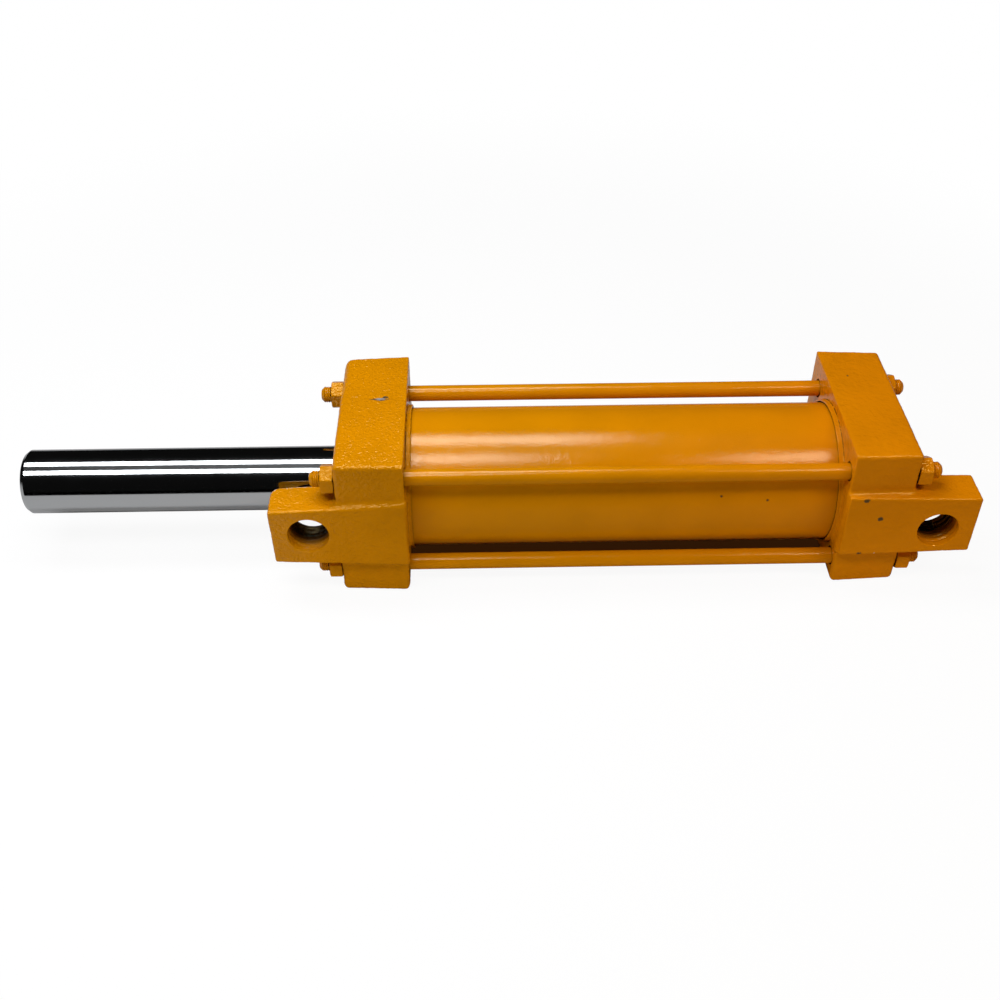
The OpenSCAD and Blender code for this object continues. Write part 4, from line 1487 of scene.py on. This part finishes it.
@dataclass
class Studio:
    """Pale floor, soft lights, white surroundings and the camera."""

    floor_size: float = 8.0
    floor_colour: str = "#F6F6F6"
    floor_lift: float = 0.93  # share of plain white in what the camera sees of the floor
    softboxes: tuple[Softbox, ...] = (
        Softbox("softbox_back", (-1.3, -0.23), (0.045, 0.305), 1.06, 10.2, "#FAFBFF", -7.0),
        Softbox("softbox_front", (-1.3, -0.41), (-0.585, -0.300), 1.06, 10.2, "#FAFBFF", -7.0),
        Softbox("softbox_right", (0.17, 0.9), (-0.640, -0.390), 1.06, 12.0, "#FFF0DC"),
    )
    ambient: float = 0.10
    dark: float = 0.005
    ceiling: float = 0.16
    board_front: float = -0.29  # where the pale board ends in front of the object
    board_right: float = -0.62  # where it ends under the rod, as the chrome shows it
    board_back: float = 0.15  # where it begins again behind the object, as the cap's inner face shows it
    white_near: float = 0.55  # from the object's middle to where the floor begins to turn white
    white_far: float = 1.1
    # Colour of the painted shadow on the floor under the barrel.
    barrel_shadow_colour: str = "#2E1706"
    room_colour: str = "#4A4A4A"
    mirror_colour: str = "#B4B4B4"
    camera_place: tuple[float, float, float] = (-0.41469, -0.85047, 0.74683)
    camera_right: tuple[float, float, float] = (0.999753, -0.022211, -0.000229)
    camera_up: tuple[float, float, float] = (0.014504, 0.644964, 0.764075)
    camera_back: tuple[float, float, float] = (-0.016823, -0.76389, 0.645127)
    lens: float = 44.778

    def floor(self) -> None:
        """A pale floor just below the castings, which turns white far from the object."""
        level = CAD_BOX[0].z - 0.0005
        half = self.floor_size / 2
        mesh = bpy.data.meshes.new("floor")
        corners = [(-half, -half, level), (half, -half, level), (half, half, level), (-half, half, level)]
        mesh.from_pydata(corners, [], [(0, 1, 2, 3)])
        floor = bpy.data.objects.new("floor", mesh)
        bpy.context.scene.collection.objects.link(floor)
        made, tree, place = empty_material("matt_white_board")
        centre = ((CAD_BOX[0] + CAD_BOX[1]) / 2)[:]
        away = add(tree, "VectorMath", {0: place, 1: centre}, operation="DISTANCE").outputs["Value"]
        reach = {"Value": away, "From Min": self.white_near, "From Max": self.white_far}
        far = add(tree, "MapRange", reach, interpolation_type="SMOOTHSTEP").outputs["Result"]
        rays = add(tree, "LightPath")
        across = add(tree, "SeparateXYZ", {0: place})
        # In a mirror the board shows under the rod and behind: the painted sides would look milky with it.
        ramps = []
        for axis, start, end, low, high in (
            ("Y", self.board_front - 0.02, self.board_front, 0.0, 1.0),
            ("X", self.board_right, self.board_right + 0.05, 1.0, 0.10),
            ("Y", self.board_back, self.board_back + 0.03, 0.0, 1.0),
        ):
            step = {"Value": across.outputs[axis], "From Min": start, "From Max": end,
                    "To Min": low, "To Max": high}
            ramps.append(add(tree, "MapRange", step).outputs["Result"])
        near_edge, under_rod, behind = ramps
        shown = add(tree, "Math", {0: under_rod, 1: behind}, operation="MAXIMUM").outputs[0]
        mirrored = add(tree, "Math", {0: near_edge, 1: shown}, operation="MULTIPLY").outputs[0]
        # Under the barrel the camera sees a painted shadow in dark brown on the floor. Past the board's front
        # edge the room is dark.
        inside = self.painted_shadow_mask(tree, across)
        dark, board, white, black = (
            linear(c) for c in (self.barrel_shadow_colour, self.floor_colour, "#FFFFFF", "#000000")
        )
        mixes = (
            (inside, board, dark),
            (near_edge, linear(self.room_colour), board),
            (inside, white, dark),
            (mirrored, black, linear(self.mirror_colour)),
        )
        seen_matt, sent_up, glowing, dim = (
            add(tree, "Mix", {FACTOR: amount, FIRST: first, SECOND: second}, data_type="RGBA").outputs[MIXED]
            for amount, first, second in mixes
        )
        matt, bounce, reflected = (
            add(tree, "BsdfDiffuse", {"Color": colour}).outputs[0] for colour in (seen_matt, sent_up, dim)
        )
        glow = add(tree, "Emission", {"Color": glowing}).outputs[0]
        lifted = add(tree, "MixShader", {0: self.floor_lift, 1: matt, 2: glow}).outputs[0]
        seen = add(tree, "MixShader", {0: far, 1: lifted, 2: glow}).outputs[0]
        glossy, camera = rays.outputs["Is Glossy Ray"], rays.outputs["Is Camera Ray"]
        hidden = add(tree, "MixShader", {0: glossy, 1: bounce, 2: reflected}).outputs[0]
        surface = add(tree, "MixShader", {0: camera, 1: hidden, 2: seen}).outputs[0]
        add(tree, "OutputMaterial", {"Surface": surface})
        mesh.materials.append(made)

    @staticmethod
    def painted_shadow_mask(tree: bpy.types.NodeTree, across: Any) -> Any:
        """Mask of the painted shadow on the floor under the barrel.

        Args:
            tree: The floor material's node tree.
            across: Node that separates the place on the floor.

        Returns:
            Socket that is 1 under the barrel and 0 outside it, with a soft edge.
        """
        low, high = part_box("barrel")
        soft = 0.014
        mask: Any = 1.0
        for axis, first, last in (("X", low.x, high.x), ("Y", low.y + 0.034, high.y - 0.008)):
            for start, end in ((first - soft, first), (last + soft, last)):
                ramp = {"Value": across.outputs[axis], "From Min": start, "From Max": end}
                part = add(tree, "MapRange", ramp).outputs["Result"]
                mask = add(tree, "Math", {0: mask, 1: part}, operation="MULTIPLY").outputs[0]
        return mask

    def surroundings(self) -> None:
        """White behind the object, dark in its reflections, and a soft fill on its shaded sides."""
        world = bpy.data.worlds.new("studio")
        bpy.context.scene.world = world
        world.use_nodes = True
        tree = world.node_tree
        tree.nodes.clear()
        rays = add(tree, "LightPath")
        fill = add(tree, "Background", {"Color": (1, 1, 1, 1), "Strength": self.ambient}).outputs[0]
        up = add(tree, "SeparateXYZ", {0: add(tree, "TexCoord").outputs["Generated"]}).outputs["Z"]
        overhead = {"Value": up, "From Min": 0.90, "From Max": 0.99, "To Min": self.dark, "To Max": self.ceiling}
        ceiling = add(tree, "MapRange", overhead).outputs["Result"]
        dark = add(tree, "Background", {"Color": (1, 1, 1, 1), "Strength": ceiling}).outputs[0]
        white = add(tree, "Background", {"Color": (1, 1, 1, 1), "Strength": 1.0}).outputs[0]
        hidden = add(tree, "MixShader", {0: rays.outputs["Is Glossy Ray"], 1: fill, 2: dark}).outputs[0]
        shown = add(tree, "MixShader", {0: rays.outputs["Is Camera Ray"], 1: hidden, 2: white}).outputs[0]
        add(tree, "OutputWorld", {"Surface": shown})

    def camera(self) -> None:
        """The camera, looking down on the cylinder from its lug side."""
        data = bpy.data.cameras.new("camera")
        data.lens = self.lens
        data.sensor_width = 36.0
        data.clip_start, data.clip_end = 0.01, 50.0
        obj = bpy.data.objects.new("camera", data)
        columns = Matrix((self.camera_right, self.camera_up, self.camera_back)).transposed()
        obj.matrix_world = Matrix.Translation(self.camera_place) @ columns.to_4x4()
        bpy.context.scene.collection.objects.link(obj)
        bpy.context.scene.camera = obj

    def build(self) -> None:
        """Sets up the whole studio."""
        bpy.context.scene.view_settings.view_transform = "Standard"
        self.floor()
        self.surroundings()
        for softbox in self.softboxes:
            softbox.build()
        self.camera()


# ---------------------------------------------------------------- everything


def main() -> None:
    """Builds every piece and the studio, in order."""
    logging.basicConfig(level=logging.INFO, format="%(name)s %(message)s")
    shop = Workshop()
    RodHead(
        node="rod_head", mirrored=True, coat=Coat.ROUGH_CAST, thickness=HEAD_THICKNESS, front=80.5, back=91.5,
        top=75.0, lug_top=28.5, lug_bottom=31.0, lug_rise=6.0, lug_drop=6.0, lug_bore_z=1.0, lug_reach=58.5,
        lug_slant=1.75, lug_tip_r=2.0, lug_back_r=9.0, corner_r=8.0,
        spigot=20.0, port_x=30.0, lump_height=0.35, seed=11,
        blemishes=(
            Blemish((-505.4, 88.2, 78.5), 3.2, "#3B321F", (3.2, 0.45, 1.0)),
            Blemish((-503.2, 86.2, 78.5), 2.0, "#4A3F2A", (2.6, 0.40, 1.0)),
            Blemish((-499.6, 91.2, 78.5), 2.6, "#3B321F", (1.2, 0.70, 1.0)),
            Blemish((-504.4, 88.6, 78.5), 3.4, "#7C7F84", (1.5, 0.60, 1.0)),
        ),
    ).build(shop)
    EndCap(
        node="end_cap", mirrored=False, coat=Coat.SMOOTH_CAST, thickness=CAP_THICKNESS, front=77.5, back=89.0,
        top=77.0, lug_top=33.0, lug_bottom=29.0, lug_rise=2.5, lug_drop=4.0, lug_bore_z=-3.5, lug_reach=59.0,
        lug_tip_r=1.5, lug_back_r=2.0, corner_r=4.0,
        spigot=16.0, port_x=16.0, lump_height=0.25, seed=23,
        blemishes=(
            Blemish((-65.7, 113.4, 80.5), 1.3, "#3A2A10"),
            Blemish((-71.8, -18.0, 36.1), 2.6, "#53401F", (1.2, 1.0, 0.9)),
            Blemish((-55.4, -18.0, 14.7), 2.7, "#53401F", (1.0, 1.0, 1.1)),
            Blemish((-67.0, -18.0, -27.6), 2.6, "#53401F"),
            Blemish((-53.2, -18.0, -28.8), 2.2, "#D9BE94", (0.45, 1.0, 1.5)),
            Blemish((-85.2, -18.0, -29.7), 1.2, "#4E3A1C"),
        ),
    ).build(shop)
    Barrel().build(shop)
    TieRods().build(shop)
    TieNuts().build(shop)
    Seals().build(shop)
    PistonRod().build(shop)
    Piston().build(shop)
    Studio().build()


if __name__ == "__main__":
    main()
